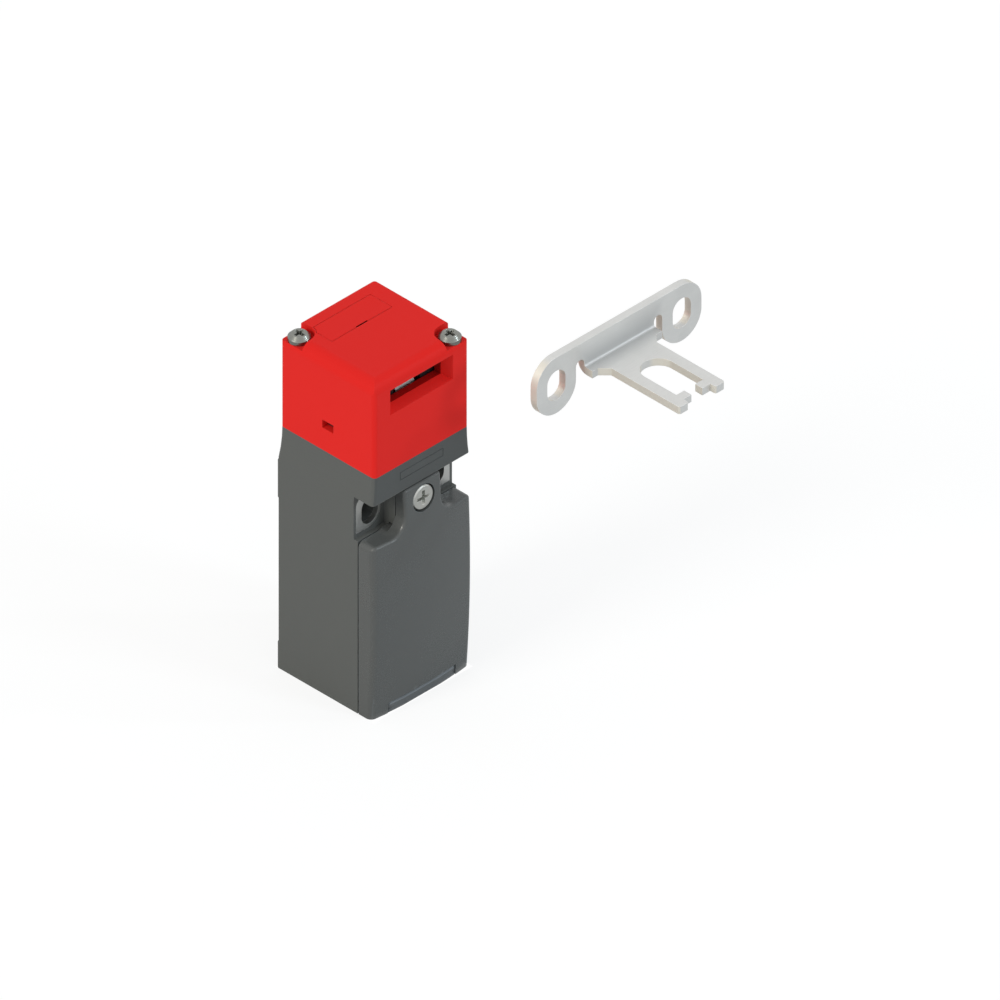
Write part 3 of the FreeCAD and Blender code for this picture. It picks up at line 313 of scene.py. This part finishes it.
def new_group(name, inputs, outputs):
    """A shader node group with its named sockets, and its input and output nodes."""
    group = bpy.data.node_groups.new(name, "ShaderNodeTree")
    for socket_name, kind, default in inputs:
        group_socket(group, socket_name, kind, "INPUT", default)
    for socket_name, kind in outputs:
        group_socket(group, socket_name, kind, "OUTPUT")
    return group, group.nodes.new("NodeGroupInput"), group.nodes.new("NodeGroupOutput")


def maths(tree, operation, a, b=0.0, c=None, clamp=False):
    """A Math node; each value is a number or another node's socket."""
    node = tree.nodes.new("ShaderNodeMath")
    node.operation = operation
    node.use_clamp = clamp
    for slot, value in zip(node.inputs, (a, b, c)):
        if value is None:
            continue
        if isinstance(value, bpy.types.NodeSocket):
            tree.links.new(value, slot)
        else:
            slot.default_value = value
    return node.outputs[0]


def vector_maths(tree, operation, *values):
    """A Vector Math node fed by other nodes' sockets."""
    node = tree.nodes.new("ShaderNodeVectorMath")
    node.operation = operation
    for slot, value in zip(node.inputs, values):
        tree.links.new(value, slot)
    return node.outputs["Value" if operation == "DOT_PRODUCT" else "Vector"]


def varied(tree, value, mask, swing, clamp=False):
    """A value that a mask moves up where it is over a half, and down where it is under."""
    return maths(tree, "MULTIPLY_ADD", maths(tree, "SUBTRACT", mask, 0.5), swing, value, clamp=clamp)


def noise(tree, vector, scale, detail, rough):
    """A Noise Texture; scale is a number or another node's socket."""
    node = tree.nodes.new("ShaderNodeTexNoise")
    node.inputs["Detail"].default_value = detail
    node.inputs["Roughness"].default_value = rough
    tree.links.new(vector, node.inputs["Vector"])
    if isinstance(scale, bpy.types.NodeSocket):
        tree.links.new(scale, node.inputs["Scale"])
    else:
        node.inputs["Scale"].default_value = scale
    return node.outputs["Fac"]


def spread(tree, value, old, new):
    """Maps the range old to the range new; each end is a number or another node's socket."""
    node = tree.nodes.new("ShaderNodeMapRange")
    for name, number in zip(("From Min", "From Max", "To Min", "To Max"), (*old, *new)):
        if isinstance(number, bpy.types.NodeSocket):
            tree.links.new(number, node.inputs[name])
        else:
            node.inputs[name].default_value = number
    tree.links.new(value, node.inputs["Value"])
    return node.outputs["Result"]


def mould_grain_group():
    """Fine spark-eroded grain of a mould, with faint flow shades."""
    tree, given, made = new_group(
        "Mould Grain",
        [("Position", "NodeSocketVector", None), ("Grain", "NodeSocketFloat", 0.2 * MM),
         ("Depth", "NodeSocketFloat", 0.006 * MM), ("Mottle", "NodeSocketFloat", 0.04),
         ("Roughness", "NodeSocketFloat", 0.5)],
        [("Height", "NodeSocketFloat"), ("Shade", "NodeSocketFloat"), ("Roughness", "NodeSocketFloat")])
    place = given.outputs["Position"]
    scale = maths(tree, "DIVIDE", 1.0, given.outputs["Grain"])
    fine = noise(tree, place, scale, detail=3.0, rough=0.6)
    tree.links.new(maths(tree, "MULTIPLY", fine, given.outputs["Depth"]), made.inputs["Height"])
    flow = noise(tree, place, 55.0, detail=3.0, rough=0.55)
    cloud = noise(tree, place, 260.0, detail=2.0, rough=0.5)
    mix = maths(tree, "MULTIPLY_ADD", cloud, 0.35, maths(tree, "MULTIPLY", flow, 0.65))
    swing = maths(tree, "MULTIPLY", maths(tree, "SUBTRACT", mix, 0.5), given.outputs["Mottle"])
    tree.links.new(maths(tree, "ADD", 1.0, maths(tree, "MULTIPLY", swing, 2.0)), made.inputs["Shade"])
    rough = varied(tree, given.outputs["Roughness"], fine, swing=0.12)
    rough = varied(tree, rough, flow, swing=0.16, clamp=True)
    tree.links.new(rough, made.inputs["Roughness"])
    return tree


def edge_rub_and_highlight_group():
    """Softened edges, and a mask that is 1 on them for wear and a painted highlight, broken up a little by
    handling.
    """
    tree, given, made = new_group(
        "Edge Rub And Highlight",
        [("Position", "NodeSocketVector", None), ("Radius", "NodeSocketFloat", 0.15 * MM),
         ("Spread", "NodeSocketFloat", 0.3 * MM), ("Amount", "NodeSocketFloat", 0.5)],
        [("Normal", "NodeSocketVector"), ("Mask", "NodeSocketFloat")])
    soft = tree.nodes.new("ShaderNodeBevel")
    soft.samples = 4
    tree.links.new(given.outputs["Radius"], soft.inputs["Radius"])
    tree.links.new(soft.outputs["Normal"], made.inputs["Normal"])
    wide = tree.nodes.new("ShaderNodeBevel")
    wide.samples = 6
    tree.links.new(given.outputs["Spread"], wide.inputs["Radius"])
    surface = tree.nodes.new("ShaderNodeNewGeometry")
    alike = vector_maths(tree, "DOT_PRODUCT", wide.outputs["Normal"], surface.outputs["True Normal"])
    turned = spread(tree, alike, (0.995, 0.93), (0.0, 1.0))
    handled = noise(tree, given.outputs["Position"], 420.0, detail=3.0, rough=0.6)
    broken = spread(tree, handled, (0.35, 0.62), (0.45, 1.0))
    worn = maths(tree, "MULTIPLY", turned, broken)
    rub_and_highlight = maths(tree, "MULTIPLY", worn, given.outputs["Amount"], clamp=True)
    tree.links.new(rub_and_highlight, made.inputs["Mask"])
    return tree


def sheet_grain_group():
    """Rolled or ground metal: fine lines along one direction over a soft cloud."""
    tree, given, made = new_group(
        "Sheet Grain",
        [("Position", "NodeSocketVector", None), ("Stretch", "NodeSocketVector", SHEET_LINES),
         ("Depth", "NodeSocketFloat", 0.001 * MM), ("Roughness", "NodeSocketFloat", 0.35)],
        [("Height", "NodeSocketFloat"), ("Shade", "NodeSocketFloat"), ("Roughness", "NodeSocketFloat")])
    drawn = vector_maths(tree, "MULTIPLY", given.outputs["Position"], given.outputs["Stretch"])
    lines = noise(tree, drawn, 6.0, detail=4.0, rough=0.65)
    cloud = noise(tree, given.outputs["Position"], 180.0, detail=3.0, rough=0.55)
    tree.links.new(maths(tree, "MULTIPLY", lines, given.outputs["Depth"]), made.inputs["Height"])
    shade = varied(tree, 1.0, lines, swing=0.16)
    shade = varied(tree, shade, cloud, swing=0.14)
    tree.links.new(shade, made.inputs["Shade"])
    rough = varied(tree, given.outputs["Roughness"], lines, swing=0.22)
    rough = varied(tree, rough, cloud, swing=0.15, clamp=True)
    tree.links.new(rough, made.inputs["Roughness"])
    return tree


def inside_group():
    """A mask that is 1 in a box of the rest pose, and fades to 0 over a soft margin."""
    tree, given, made = new_group(
        "Inside Box",
        [("Position", "NodeSocketVector", None), ("Middle", "NodeSocketVector", (0, 0, 0)),
         ("Half", "NodeSocketVector", (1, 1, 1)), ("Soft", "NodeSocketFloat", 0.1 * MM)],
        [("Mask", "NodeSocketFloat")])
    away = vector_maths(tree, "ABSOLUTE", vector_maths(tree, "SUBTRACT", given.outputs["Position"],
                                                       given.outputs["Middle"]))
    past = tree.nodes.new("ShaderNodeSeparateXYZ")
    tree.links.new(vector_maths(tree, "SUBTRACT", away, given.outputs["Half"]), past.inputs["Vector"])
    worst = maths(tree, "MAXIMUM", past.outputs["X"], past.outputs["Y"])
    worst = maths(tree, "MAXIMUM", worst, past.outputs["Z"])
    tree.links.new(spread(tree, worst, (0.0, given.outputs["Soft"]), (1.0, 0.0)), made.inputs["Mask"])
    return tree


def shared(name, make):
    """The node group of that name, made the first time it is asked for."""
    return bpy.data.node_groups.get(name) or make()


# ---------------------------------------------------------------- materials
def group_node(tree, group, place, **values):
    """A node group placed in a material, with its own values."""
    node = tree.nodes.new("ShaderNodeGroup")
    node.node_tree = group
    tree.links.new(place, node.inputs["Position"])
    for name, value in values.items():
        node.inputs[name].default_value = value
    return node


def shaded(tree, colour, shade):
    """A colour whose brightness follows a value near 1."""
    node = tree.nodes.new("ShaderNodeVectorMath")
    node.operation = "SCALE"
    node.inputs[0].default_value = colour
    tree.links.new(shade, node.inputs["Scale"])
    return node.outputs["Vector"]


def mixed(tree, mask, first, second):
    """first where the mask is 0, second where it is 1; each is a colour or another node's socket."""
    node = tree.nodes.new("ShaderNodeMix")
    node.data_type = "RGBA"
    tree.links.new(mask, node.inputs["Factor"])
    for slot, value in ((node.inputs["A"], first), (node.inputs["B"], second)):
        if isinstance(value, bpy.types.NodeSocket):
            tree.links.new(value, slot)
        else:
            slot.default_value = (*value, 1.0)
    return node.outputs["Result"]


def inside(tree, place, low, high, soft=0.1 * MM):
    """The mask of a box given by its corners in the rest pose, in millimetres."""
    middle = [(a + b) / 2 * MM for a, b in zip(low, high)]
    half = [(b - a) / 2 * MM for a, b in zip(low, high)]
    return group_node(tree, shared("Inside Box", inside_group), place,
                      Middle=middle, Half=half, Soft=soft).outputs["Mask"]


def bump(tree, height, normal=None):
    """A Bump node whose height is in metres, over an earlier normal if there is one."""
    node = tree.nodes.new("ShaderNodeBump")
    node.inputs["Distance"].default_value = 1.0
    node.inputs["Strength"].default_value = 1.0
    tree.links.new(height, node.inputs["Height"])
    if normal is not None:
        tree.links.new(normal, node.inputs["Normal"])
    return node.outputs["Normal"]


def paler(colour, gain, lift):
    """A colour made brighter, for edges with wear and a painted highlight."""
    return tuple(min(1.0, part * gain + lift) for part in colour)


def new_material(name):
    """A material, its tree, its Principled shader and the place at rest, which its textures follow."""
    material = bpy.data.materials.new(name)
    material.use_nodes = True
    tree = material.node_tree
    place = tree.nodes.new("ShaderNodeTexCoord").outputs["Object"]
    return material, tree, tree.nodes["Principled BSDF"], place


def moulded(name, colour, roughness, rub_and_highlight, rub_and_highlight_colour=None, mottle=0.035, gloss=0.5, patches=(), rounded=None):
    """A plastic moulding: mould grain, faint flow shades, softened edges lighter with wear and a painted
    highlight.

    patches are boxes (low corner, high corner, colour) in which the plastic has another colour; most of these
    are painted shade and painted light. rounded is a box (low corner, high corner) whose edges look much
    rounder.
    """
    finish = bpy.context.scene.switch_finish
    material, tree, shader, place = new_material(name)
    grain = group_node(tree, shared("Mould Grain", mould_grain_group), place,
                       Grain=finish.spark, Depth=finish.spark_depth, Mottle=mottle, Roughness=roughness)
    edge = group_node(tree, shared("Edge Rub And Highlight", edge_rub_and_highlight_group), place,
                      Radius=finish.edge, Spread=1.6 * finish.edge, Amount=rub_and_highlight)
    if rounded:
        wide = spread(tree, inside(tree, place, *rounded), (0.0, 1.0), (finish.edge, finish.bar_edge))
        tree.links.new(wide, edge.inputs["Radius"])
    # The edges' colour: a painted highlight, partly handling wear.
    light = rub_and_highlight_colour or paler(colour, gain=1.5, lift=0.03)
    base = mixed(tree, edge.outputs["Mask"], shaded(tree, colour, grain.outputs["Shade"]), light)
    for low, high, other in patches:
        base = mixed(tree, inside(tree, place, low, high), base, other)
    tree.links.new(base, shader.inputs["Base Color"])
    tree.links.new(grain.outputs["Roughness"], shader.inputs["Roughness"])
    tree.links.new(bump(tree, grain.outputs["Height"], edge.outputs["Normal"]), shader.inputs["Normal"])
    shader.inputs["Specular IOR Level"].default_value = gloss
    return material


def metal(name, colour, roughness, stretch=EVEN_GRAIN, rub_and_highlight=0.4, sheared=None, metallic=1.0, patches=()):
    """Bare or plated metal: fine lines, and softened edges made slightly brighter by wear and a painted
    highlight.

    stretch draws the grain out into lines, sheared is the colour of a sheet's cut edges, and patches are
    boxes (low corner, high corner, colour, soft margin) in which the metal has another colour, such as a
    painted shade.
    """
    finish = bpy.context.scene.switch_finish
    material, tree, shader, place = new_material(name)
    grain = group_node(tree, shared("Sheet Grain", sheet_grain_group), place,
                       Stretch=stretch, Depth=finish.line_depth, Roughness=roughness)
    softened = group_node(tree, shared("Edge Rub And Highlight", edge_rub_and_highlight_group), place,
                          Radius=0.6 * finish.edge, Spread=finish.edge, Amount=rub_and_highlight)
    # Painted highlight on the edges, partly wear.
    bright = paler(colour, gain=1.25, lift=0.06)
    base = shaded(tree, colour, grain.outputs["Shade"])
    for low, high, other, soft in patches:
        base = mixed(tree, inside(tree, place, low, high, soft), base, other)
    if sheared:
        base = mixed(tree, cut_edges(tree), base, sheared)
    base = mixed(tree, softened.outputs["Mask"], base, bright)
    tree.links.new(base, shader.inputs["Base Color"])
    tree.links.new(grain.outputs["Roughness"], shader.inputs["Roughness"])
    tree.links.new(bump(tree, grain.outputs["Height"], softened.outputs["Normal"]), shader.inputs["Normal"])
    shader.inputs["Metallic"].default_value = metallic
    return material


def cut_edges(tree):
    """A mask that is 1 on the key's cut edges that face sideways."""
    parts = tree.nodes.new("ShaderNodeSeparateXYZ")
    tree.links.new(tree.nodes.new("ShaderNodeTexCoord").outputs["Normal"], parts.inputs["Vector"])
    sideways = maths(tree, "ABSOLUTE", parts.outputs["X"])
    return spread(tree, sideways, (0.25, 0.5), (0.0, 1.0))


def rubber(name, colour):
    """Soft black rubber with a dusty bloom."""
    material, tree, shader, place = new_material(name)
    grain = group_node(tree, shared("Mould Grain", mould_grain_group), place,
                       Grain=0.3 * MM, Depth=0.01 * MM, Mottle=0.12, Roughness=0.78)
    tree.links.new(shaded(tree, colour, grain.outputs["Shade"]), shader.inputs["Base Color"])
    tree.links.new(grain.outputs["Roughness"], shader.inputs["Roughness"])
    tree.links.new(bump(tree, grain.outputs["Height"]), shader.inputs["Normal"])
    return material


def finish_nodes(material, *names):
    """Gives CAD nodes a material in place of the plain one that they came with."""
    for name in names:
        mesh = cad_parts[name].data
        mesh.materials.clear()
        mesh.materials.append(material)


# ---------------------------------------------------------------- mesh making
def new_piece(name, mesh_maker, material, body):
    """A new object from a function that fills a bmesh, riding on a body."""
    mesh = bpy.data.meshes.new(name)
    made = bmesh.new()
    mesh_maker(made)
    bmesh.ops.recalc_face_normals(made, faces=made.faces)
    made.to_mesh(mesh)
    made.free()
    if not mesh.polygons:
        raise RuntimeError(f"{name} came out empty")
    for face in mesh.polygons:
        face.use_smooth = True
    mesh.materials.append(material)
    piece = bpy.data.objects.new(name, mesh)
    bpy.context.scene.collection.objects.link(piece)
    if body:
        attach(piece, body)
    return piece


def swept_rings(made, rings):
    """Skins a row of rings of points, each with as many points as the next, and closes its ends."""
    rows = [[made.verts.new(p) for p in ring] for ring in rings]
    count = len(rows[0])
    for here, after in zip(rows, rows[1:]):
        for i in range(count):
            j = (i + 1) % count
            made.faces.new((here[i], here[j], after[j], after[i]))
    made.faces.new(rows[0])
    made.faces.new(list(reversed(rows[-1])))


def coil(made, centre, low, high, radius, wire, turns):
    """A compression spring whose end turns lie flat; radius is to the wire's middle."""
    steps_a_turn, sides = 28, 10
    flat = 0.75                  # turns at each end that don't climb
    total = turns + 2 * flat
    steps = int(total * steps_a_turn)
    up = Vector((0, 0, wire / 2))
    rings = []
    for k in range(steps + 1):
        turn = total * k / steps
        climb = min(max((turn - flat) / turns, 0.0), 1.0)
        z = low + wire / 2 + climb * (high - low - wire)
        angle = tau * turn
        out = Vector((cos(angle), sin(angle), 0))
        middle = Vector((centre[0], centre[1], z)) + out * radius
        rings.append([middle + out * (wire / 2 * cos(tau * i / sides)) + up * sin(tau * i / sides)
                      for i in range(sides)])
    swept_rings(made, rings)


def thread(made, foot, direction, length, root, crest, pitch):
    """A screw thread's ridge, wound about an axis; it fades in and out at both ends."""
    up = Vector(direction).normalized()
    side = up.orthogonal().normalized()
    other = up.cross(side)
    steps_a_turn = 24
    steps = int(length / pitch * steps_a_turn)
    sunk = root * 0.985          # the ridge's foot, a little into the wall
    half = pitch * 0.42          # half the ridge's width at its foot
    land = half * 0.22           # half its width at the crest
    lowest = 0.05                # share of its height that is left at the ends
    rings = []
    for k in range(steps + 1):
        angle = tau * k / steps_a_turn
        fade = min(1.0, k / steps_a_turn, (steps - k) / steps_a_turn)
        out = side * cos(angle) + other * sin(angle)
        level = Vector(foot) + up * (length * k / steps)
        tip = root + (crest - root) * max(fade, lowest)
        rings.append([level + out * sunk - up * half, level + out * tip - up * land,
                      level + out * tip + up * land, level + out * sunk + up * half])
    swept_rings(made, rings)


def seen_directly(tree, in_gloss=True):
    """1 for rays that see a white studio, 0 for the rest.

    Those are camera and transmission rays and, if in_gloss is set, mirrored ones.
    """
    rays = tree.nodes.new("ShaderNodeLightPath")
    seen = maths(tree, "MAXIMUM", rays.outputs["Is Camera Ray"], rays.outputs["Is Transmission Ray"])
    return maths(tree, "MAXIMUM", seen, rays.outputs["Is Glossy Ray"]) if in_gloss else seen


# ---------------------------------------------------------------- operators
class SWITCH_OT_body(bpy.types.Operator):
    """Grey mouldings: housing and terminal cover"""

    bl_idname = "switch.body"
    bl_label = "Housing and cover"

    def execute(self, context):
        finish = context.scene.switch_finish
        # Painted light on the hinge bar's front, a painted highlight on its upper edge, and painted shade on
        # the neck's front.
        patches = [(*HINGE_BAR, tuple(finish.bar)), (*HINGE_BAR_HIGHLIGHT, tuple(finish.bar_top_highlight)),
                   (*NECK_FRONT_SHADE, tuple(finish.neck))]
        finish_nodes(moulded("Grey Housing", tuple(finish.body), roughness=0.5, rub_and_highlight=0.35, gloss=0.3,
                             patches=patches, rounded=HINGE_BAR), "housing")
        finish_nodes(moulded("Grey Cover", tuple(finish.cover), roughness=0.26, rub_and_highlight=0.7,
                             rub_and_highlight_colour=tuple(finish.cover_rub_and_highlight), gloss=0.4), "cover")
        return {"FINISHED"}


class SWITCH_OT_head(bpy.types.Operator):
    """Red mouldings: head and slot plug"""

    bl_idname = "switch.head"
    bl_label = "Head and plug"

    def execute(self, context):
        finish = context.scene.switch_finish
        # Painted shade in the pry slit and in the key slot's throat.
        patches = [(*PRY_SLIT_SHADE, tuple(finish.slit)), (*SLOT_THROAT_SHADE, tuple(finish.throat))]
        finish_nodes(moulded("Red Head", tuple(finish.head), roughness=0.38, rub_and_highlight=0.25,
                             rub_and_highlight_colour=tuple(finish.head_rub_and_highlight), mottle=0.02, gloss=0.06, patches=patches),
                     "head", "slot_plug")
        return {"FINISHED"}


class SWITCH_OT_inner_mouldings(bpy.types.Operator):
    """Mouldings inside: carrier, discs, plunger, contact block and slide"""

    bl_idname = "switch.inner_mouldings"
    bl_label = "Inner mouldings"

    def execute(self, context):
        finish = context.scene.switch_finish
        finish_nodes(moulded("Black Moulding", tuple(finish.black), roughness=0.4, rub_and_highlight=0.2),
                     "cam_carrier", "contact_base")
        finish_nodes(moulded("Disc Moulding", tuple(finish.black), roughness=0.4, rub_and_highlight=0.6,
                             patches=[(*LEFT_DISC, tuple(finish.disc))]), "code_discs")
        finish_nodes(moulded("Natural Moulding", tuple(finish.natural), roughness=0.36, rub_and_highlight=0.1),
                     "plunger", "contact_slide")
        finish_nodes(moulded("Lid Moulding", tuple(finish.smoke), roughness=0.35, rub_and_highlight=0.2), "contact_lid")
        return {"FINISHED"}


class SWITCH_OT_seals(bpy.types.Operator):
    """Rubber: gaskets and plunger seal"""

    bl_idname = "switch.seals"
    bl_label = "Seals"

    def execute(self, context):
        black = rubber("Black Rubber", tuple(context.scene.switch_finish.rubber))
        finish_nodes(black, "cover_gasket", "head_gasket", "plunger_seal")
        return {"FINISHED"}


class SWITCH_OT_metalwork(bpy.types.Operator):
    """Metal parts: key, screws, ear plates, driver, axle, contacts and terminals"""

    bl_idname = "switch.metalwork"
    bl_label = "Metal parts"

    def execute(self, context):
        finish = context.scene.switch_finish
        # Painted shade on the key's plate above the fold.
        fold = (*KEY_FOLD_SHADE, tuple(finish.fold), FOLD_SHADE_FADE)
        finish_nodes(metal("Stamped Steel", tuple(finish.key), roughness=0.42, stretch=SHEET_LINES, rub_and_highlight=0.8,
                           sheared=tuple(finish.shear), metallic=0.4, patches=[fold]), "actuator_key")
        finish_nodes(metal("Zinc Plate", tuple(finish.zinc), roughness=0.36), "cover_screw",
                     "terminal_clamps", "terminal_screws", "block_screws", "spring_seat", "cam_axle")
        finish_nodes(metal("Ear Plate", tuple(finish.ear), roughness=0.42, rub_and_highlight=1.0), "ear_plates")
        finish_nodes(metal("Dull Plate", tuple(finish.screw), roughness=0.30, rub_and_highlight=0.9), "head_screws")
        finish_nodes(metal("Cast Driver", tuple(finish.cast), roughness=0.46, stretch=CAST_GRAIN),
                     "driver_cam")
        finish_nodes(metal("Contact Brass", tuple(finish.brass), roughness=0.3, stretch=SHEET_LINES),
                     "contact_bridges", "fixed_contacts")
        finish_nodes(metal("Contact Silver", tuple(finish.silver), roughness=0.25, stretch=SHEET_LINES),
                     "contact_tips")
        return {"FINISHED"}


class SWITCH_OT_springs(bpy.types.Operator):
    """Coil springs of the plunger, the contact slide and the two bridges"""

    bl_idname = "switch.springs"
    bl_label = "Coil springs"

    def execute(self, context):
        sizes = context.scene.switch_springs
        wire_steel = metal("Spring Wire", tuple(context.scene.switch_finish.wire), roughness=0.25)
        for node, moving, wire, turns in (
                ("plunger_spring", "plunger", sizes.plunger_wire, sizes.plunger_turns),
                ("slide_spring", "contact_slide", sizes.slide_wire, sizes.slide_turns)):
            low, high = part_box(node)
            middle = (low + high) / 2
            radius = (high.x - low.x) / 2 - wire / 2
            piece = new_piece(node + "_coil",
                              lambda made: coil(made, middle, low.z, high.z, radius, wire, turns),
                              wire_steel, None)
            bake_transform(piece)
            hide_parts(node)
        self.bridge_coils(wire_steel, sizes)
        return {"FINISHED"}

    def bridge_coils(self, wire_steel, sizes):
        """Both contact springs, one under each bridge."""
        low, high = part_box("bridge_springs")
        middle = (low + high) / 2
        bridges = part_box("contact_bridges")
        pitch = (bridges[1].z - bridges[0].z) - BRIDGE_T
        tall = (high.z - low.z) - pitch
        radius = (high.x - low.x) / 2 - sizes.bridge_wire / 2

        def both(made):
            """The lower coil and the upper one, in one mesh."""
            for k in range(2):
                foot = low.z + k * pitch
                coil(made, middle, foot, foot + tall, radius, sizes.bridge_wire, sizes.bridge_turns)

        piece = new_piece("bridge_coils", both, wire_steel, "contact_slide")
        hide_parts("bridge_springs")


class SWITCH_OT_threads(bpy.types.Operator):
    """Threads of the cover screw's shank and of the conduit entry"""

    bl_idname = "switch.threads"
    bl_label = "Threads"

    def execute(self, context):
        sizes = context.scene.switch_threads
        low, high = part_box("cover_screw")
        middle = (low + high) / 2
        foot = (middle.x, high.y - sizes.screw_start, middle.z)
        new_piece("cover_screw_thread",
                  lambda made: thread(made, foot, (0, 1, 0), sizes.screw_length, sizes.screw_root,
                                      sizes.screw_crest, sizes.screw_pitch),
                  bpy.data.materials["Zinc Plate"], "cover_screw")
        new_piece("conduit_thread",
                  lambda made: thread(made, (0, 0, sizes.entry_start), (0, 0, 1), sizes.entry_length,
                                      sizes.entry_root, sizes.entry_crest, sizes.entry_pitch),
                  bpy.data.materials["Grey Housing"], "switch")
        return {"FINISHED"}


class SWITCH_OT_stage(bpy.types.Operator):
    """Pale floor, soft studio light and the camera"""

    bl_idname = "switch.stage"
    bl_label = "Studio"

    def execute(self, context):
        setup = context.scene.switch_stage
        self.floor(setup)
        self.light(context, setup)
        self.camera(context, setup)
        context.scene.view_settings.view_transform = "Standard"
        return {"FINISHED"}

    def floor(self, setup):
        """A wide floor that reads as white to the camera and keeps the shadow; it can't be seen from below.

        It is open under the housing, so that light reaches the base and the conduit entry.
        """
        mesh = bpy.data.meshes.new("floor")
        low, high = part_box("housing")
        corners = []
        for left, right, front, back in (
                (-FLOOR_HALF, FLOOR_HALF, -FLOOR_HALF, FLOOR_HALF),
                (low.x - FLOOR_GAP, high.x + FLOOR_GAP, low.y - FLOOR_GAP, high.y + FLOOR_GAP)):
            for x, y in ((left, front), (right, front), (right, back), (left, back)):
                corners.append((x, y, -FLOOR_DROP))
        strips = [(i, (i + 1) % 4, (i + 1) % 4 + 4, i + 4) for i in range(4)]
        mesh.from_pydata(corners, [], strips)
        floor = bpy.data.objects.new("floor", mesh)
        bpy.context.scene.collection.objects.link(floor)
        material, tree, shader, _ = new_material("Pale Floor")
        seen = seen_directly(tree, in_gloss=False)
        tree.links.new(mixed(tree, seen, tuple(setup.floor), (setup.floor_seen,) * 3),
                       shader.inputs["Base Color"])
        shader.inputs["Roughness"].default_value = 1.0
        shader.inputs["Specular IOR Level"].default_value = 0.0
        shader.inputs["Emission Color"].default_value = (1, 1, 1, 1)
        tree.links.new(maths(tree, "MULTIPLY", seen, setup.floor_lift), shader.inputs["Emission Strength"])
        clear = tree.nodes.new("ShaderNodeBsdfTransparent")
        one_sided = tree.nodes.new("ShaderNodeMixShader")
        tree.links.new(tree.nodes.new("ShaderNodeNewGeometry").outputs["Backfacing"], one_sided.inputs["Fac"])
        tree.links.new(shader.outputs[0], one_sided.inputs[1])
        tree.links.new(clear.outputs[0], one_sided.inputs[2])
        tree.links.new(one_sided.outputs[0], tree.nodes["Material Output"].inputs["Surface"])
        mesh.materials.append(material)

    def light(self, context, setup):
        """An even sky, white to the camera, and three lamps."""
        world = bpy.data.worlds.new("Studio")
        context.scene.world = world
        world.use_nodes = True
        tree = world.node_tree
        back = tree.nodes["Background"]
        seen = seen_directly(tree)
        tree.links.new(mixed(tree, seen, tuple(setup.sky_tint), (1.0, 1.0, 1.0)), back.inputs["Color"])
        tree.links.new(spread(tree, seen, (0.0, 1.0), (setup.sky, 1.0)), back.inputs["Strength"])
        self.sun(context, "Main Lamp", setup.lamp_side, setup.lamp, setup.lamp_size, setup.lamp_tint)
        self.sun(context, "Front Lamp", setup.front_side, setup.front, setup.front_size, setup.front_tint)
        self.sun(context, "Edge Lamp", setup.rim_side, setup.rim, setup.rim_size, setup.front_tint)

    def sun(self, context, name, side, strength, angle, tint):
        """A lamp whose light comes from one side, and fills an angle."""
        lamp = bpy.data.lights.new(name, "SUN")
        lamp.energy = strength
        lamp.angle = angle
        lamp.color = tint
        holder = bpy.data.objects.new(name, lamp)
        holder.rotation_mode = "QUATERNION"
        holder.rotation_quaternion = Vector(side).to_track_quat("Z", "Y")
        context.scene.collection.objects.link(holder)

    def camera(self, context, setup):
        """A camera without perspective, aimed at the middle of the switch and key."""
        lens = bpy.data.cameras.new("Camera")
        lens.type = "ORTHO"
        lens.ortho_scale = setup.width
        lens.clip_start = CLIP_NEAR
        lens.clip_end = CLIP_FAR
        camera = bpy.data.objects.new("Camera", lens)
        level = cos(setup.elevation)
        back = Vector((sin(setup.azimuth) * level, -cos(setup.azimuth) * level, sin(setup.elevation)))
        camera.rotation_mode = "QUATERNION"
        camera.rotation_quaternion = (-back).to_track_quat("-Z", "Y")
        camera.location = Vector(setup.aim) + back * setup.distance
        context.scene.collection.objects.link(camera)
        context.scene.camera = camera


SETTINGS = {"switch_finish": SwitchFinish, "switch_springs": SpringSizes, "switch_threads": ThreadSizes,
            "switch_stage": StageSetup}
MAKERS = (SWITCH_OT_body, SWITCH_OT_head, SWITCH_OT_inner_mouldings, SWITCH_OT_seals, SWITCH_OT_metalwork,
          SWITCH_OT_springs, SWITCH_OT_threads, SWITCH_OT_stage)


class SWITCH_PT_panel(bpy.types.Panel):
    """Lists the steps that dress the switch, and their settings"""

    bl_idname = "SWITCH_PT_panel"
    bl_label = "Interlock switch"
    bl_space_type = "VIEW_3D"
    bl_region_type = "UI"
    bl_category = "Switch"

    def draw(self, context):
        for maker in MAKERS:
            self.layout.operator(maker.bl_idname)
        for group in SETTINGS:
            settings = getattr(context.scene, group)
            for name in settings.bl_rna.properties.keys():
                if name not in ("rna_type", "name"):
                    self.layout.prop(settings, name)


CLASSES = (*SETTINGS.values(), *MAKERS, SWITCH_PT_panel)


def register():
    """Adds the settings, steps and panel to Blender."""
    for cls in CLASSES:
        bpy.utils.register_class(cls)
    for name, group in SETTINGS.items():
        setattr(bpy.types.Scene, name, bpy.props.PointerProperty(type=group))


def unregister():
    """Takes them out again."""
    for name in SETTINGS:
        delattr(bpy.types.Scene, name)
    for cls in reversed(CLASSES):
        bpy.utils.unregister_class(cls)


def main():
    """Takes every step in turn."""
    register()
    for maker in MAKERS:
        area, step = maker.bl_idname.split(".")
        getattr(getattr(bpy.ops, area), step)()


if __name__ == "__main__":
    main()
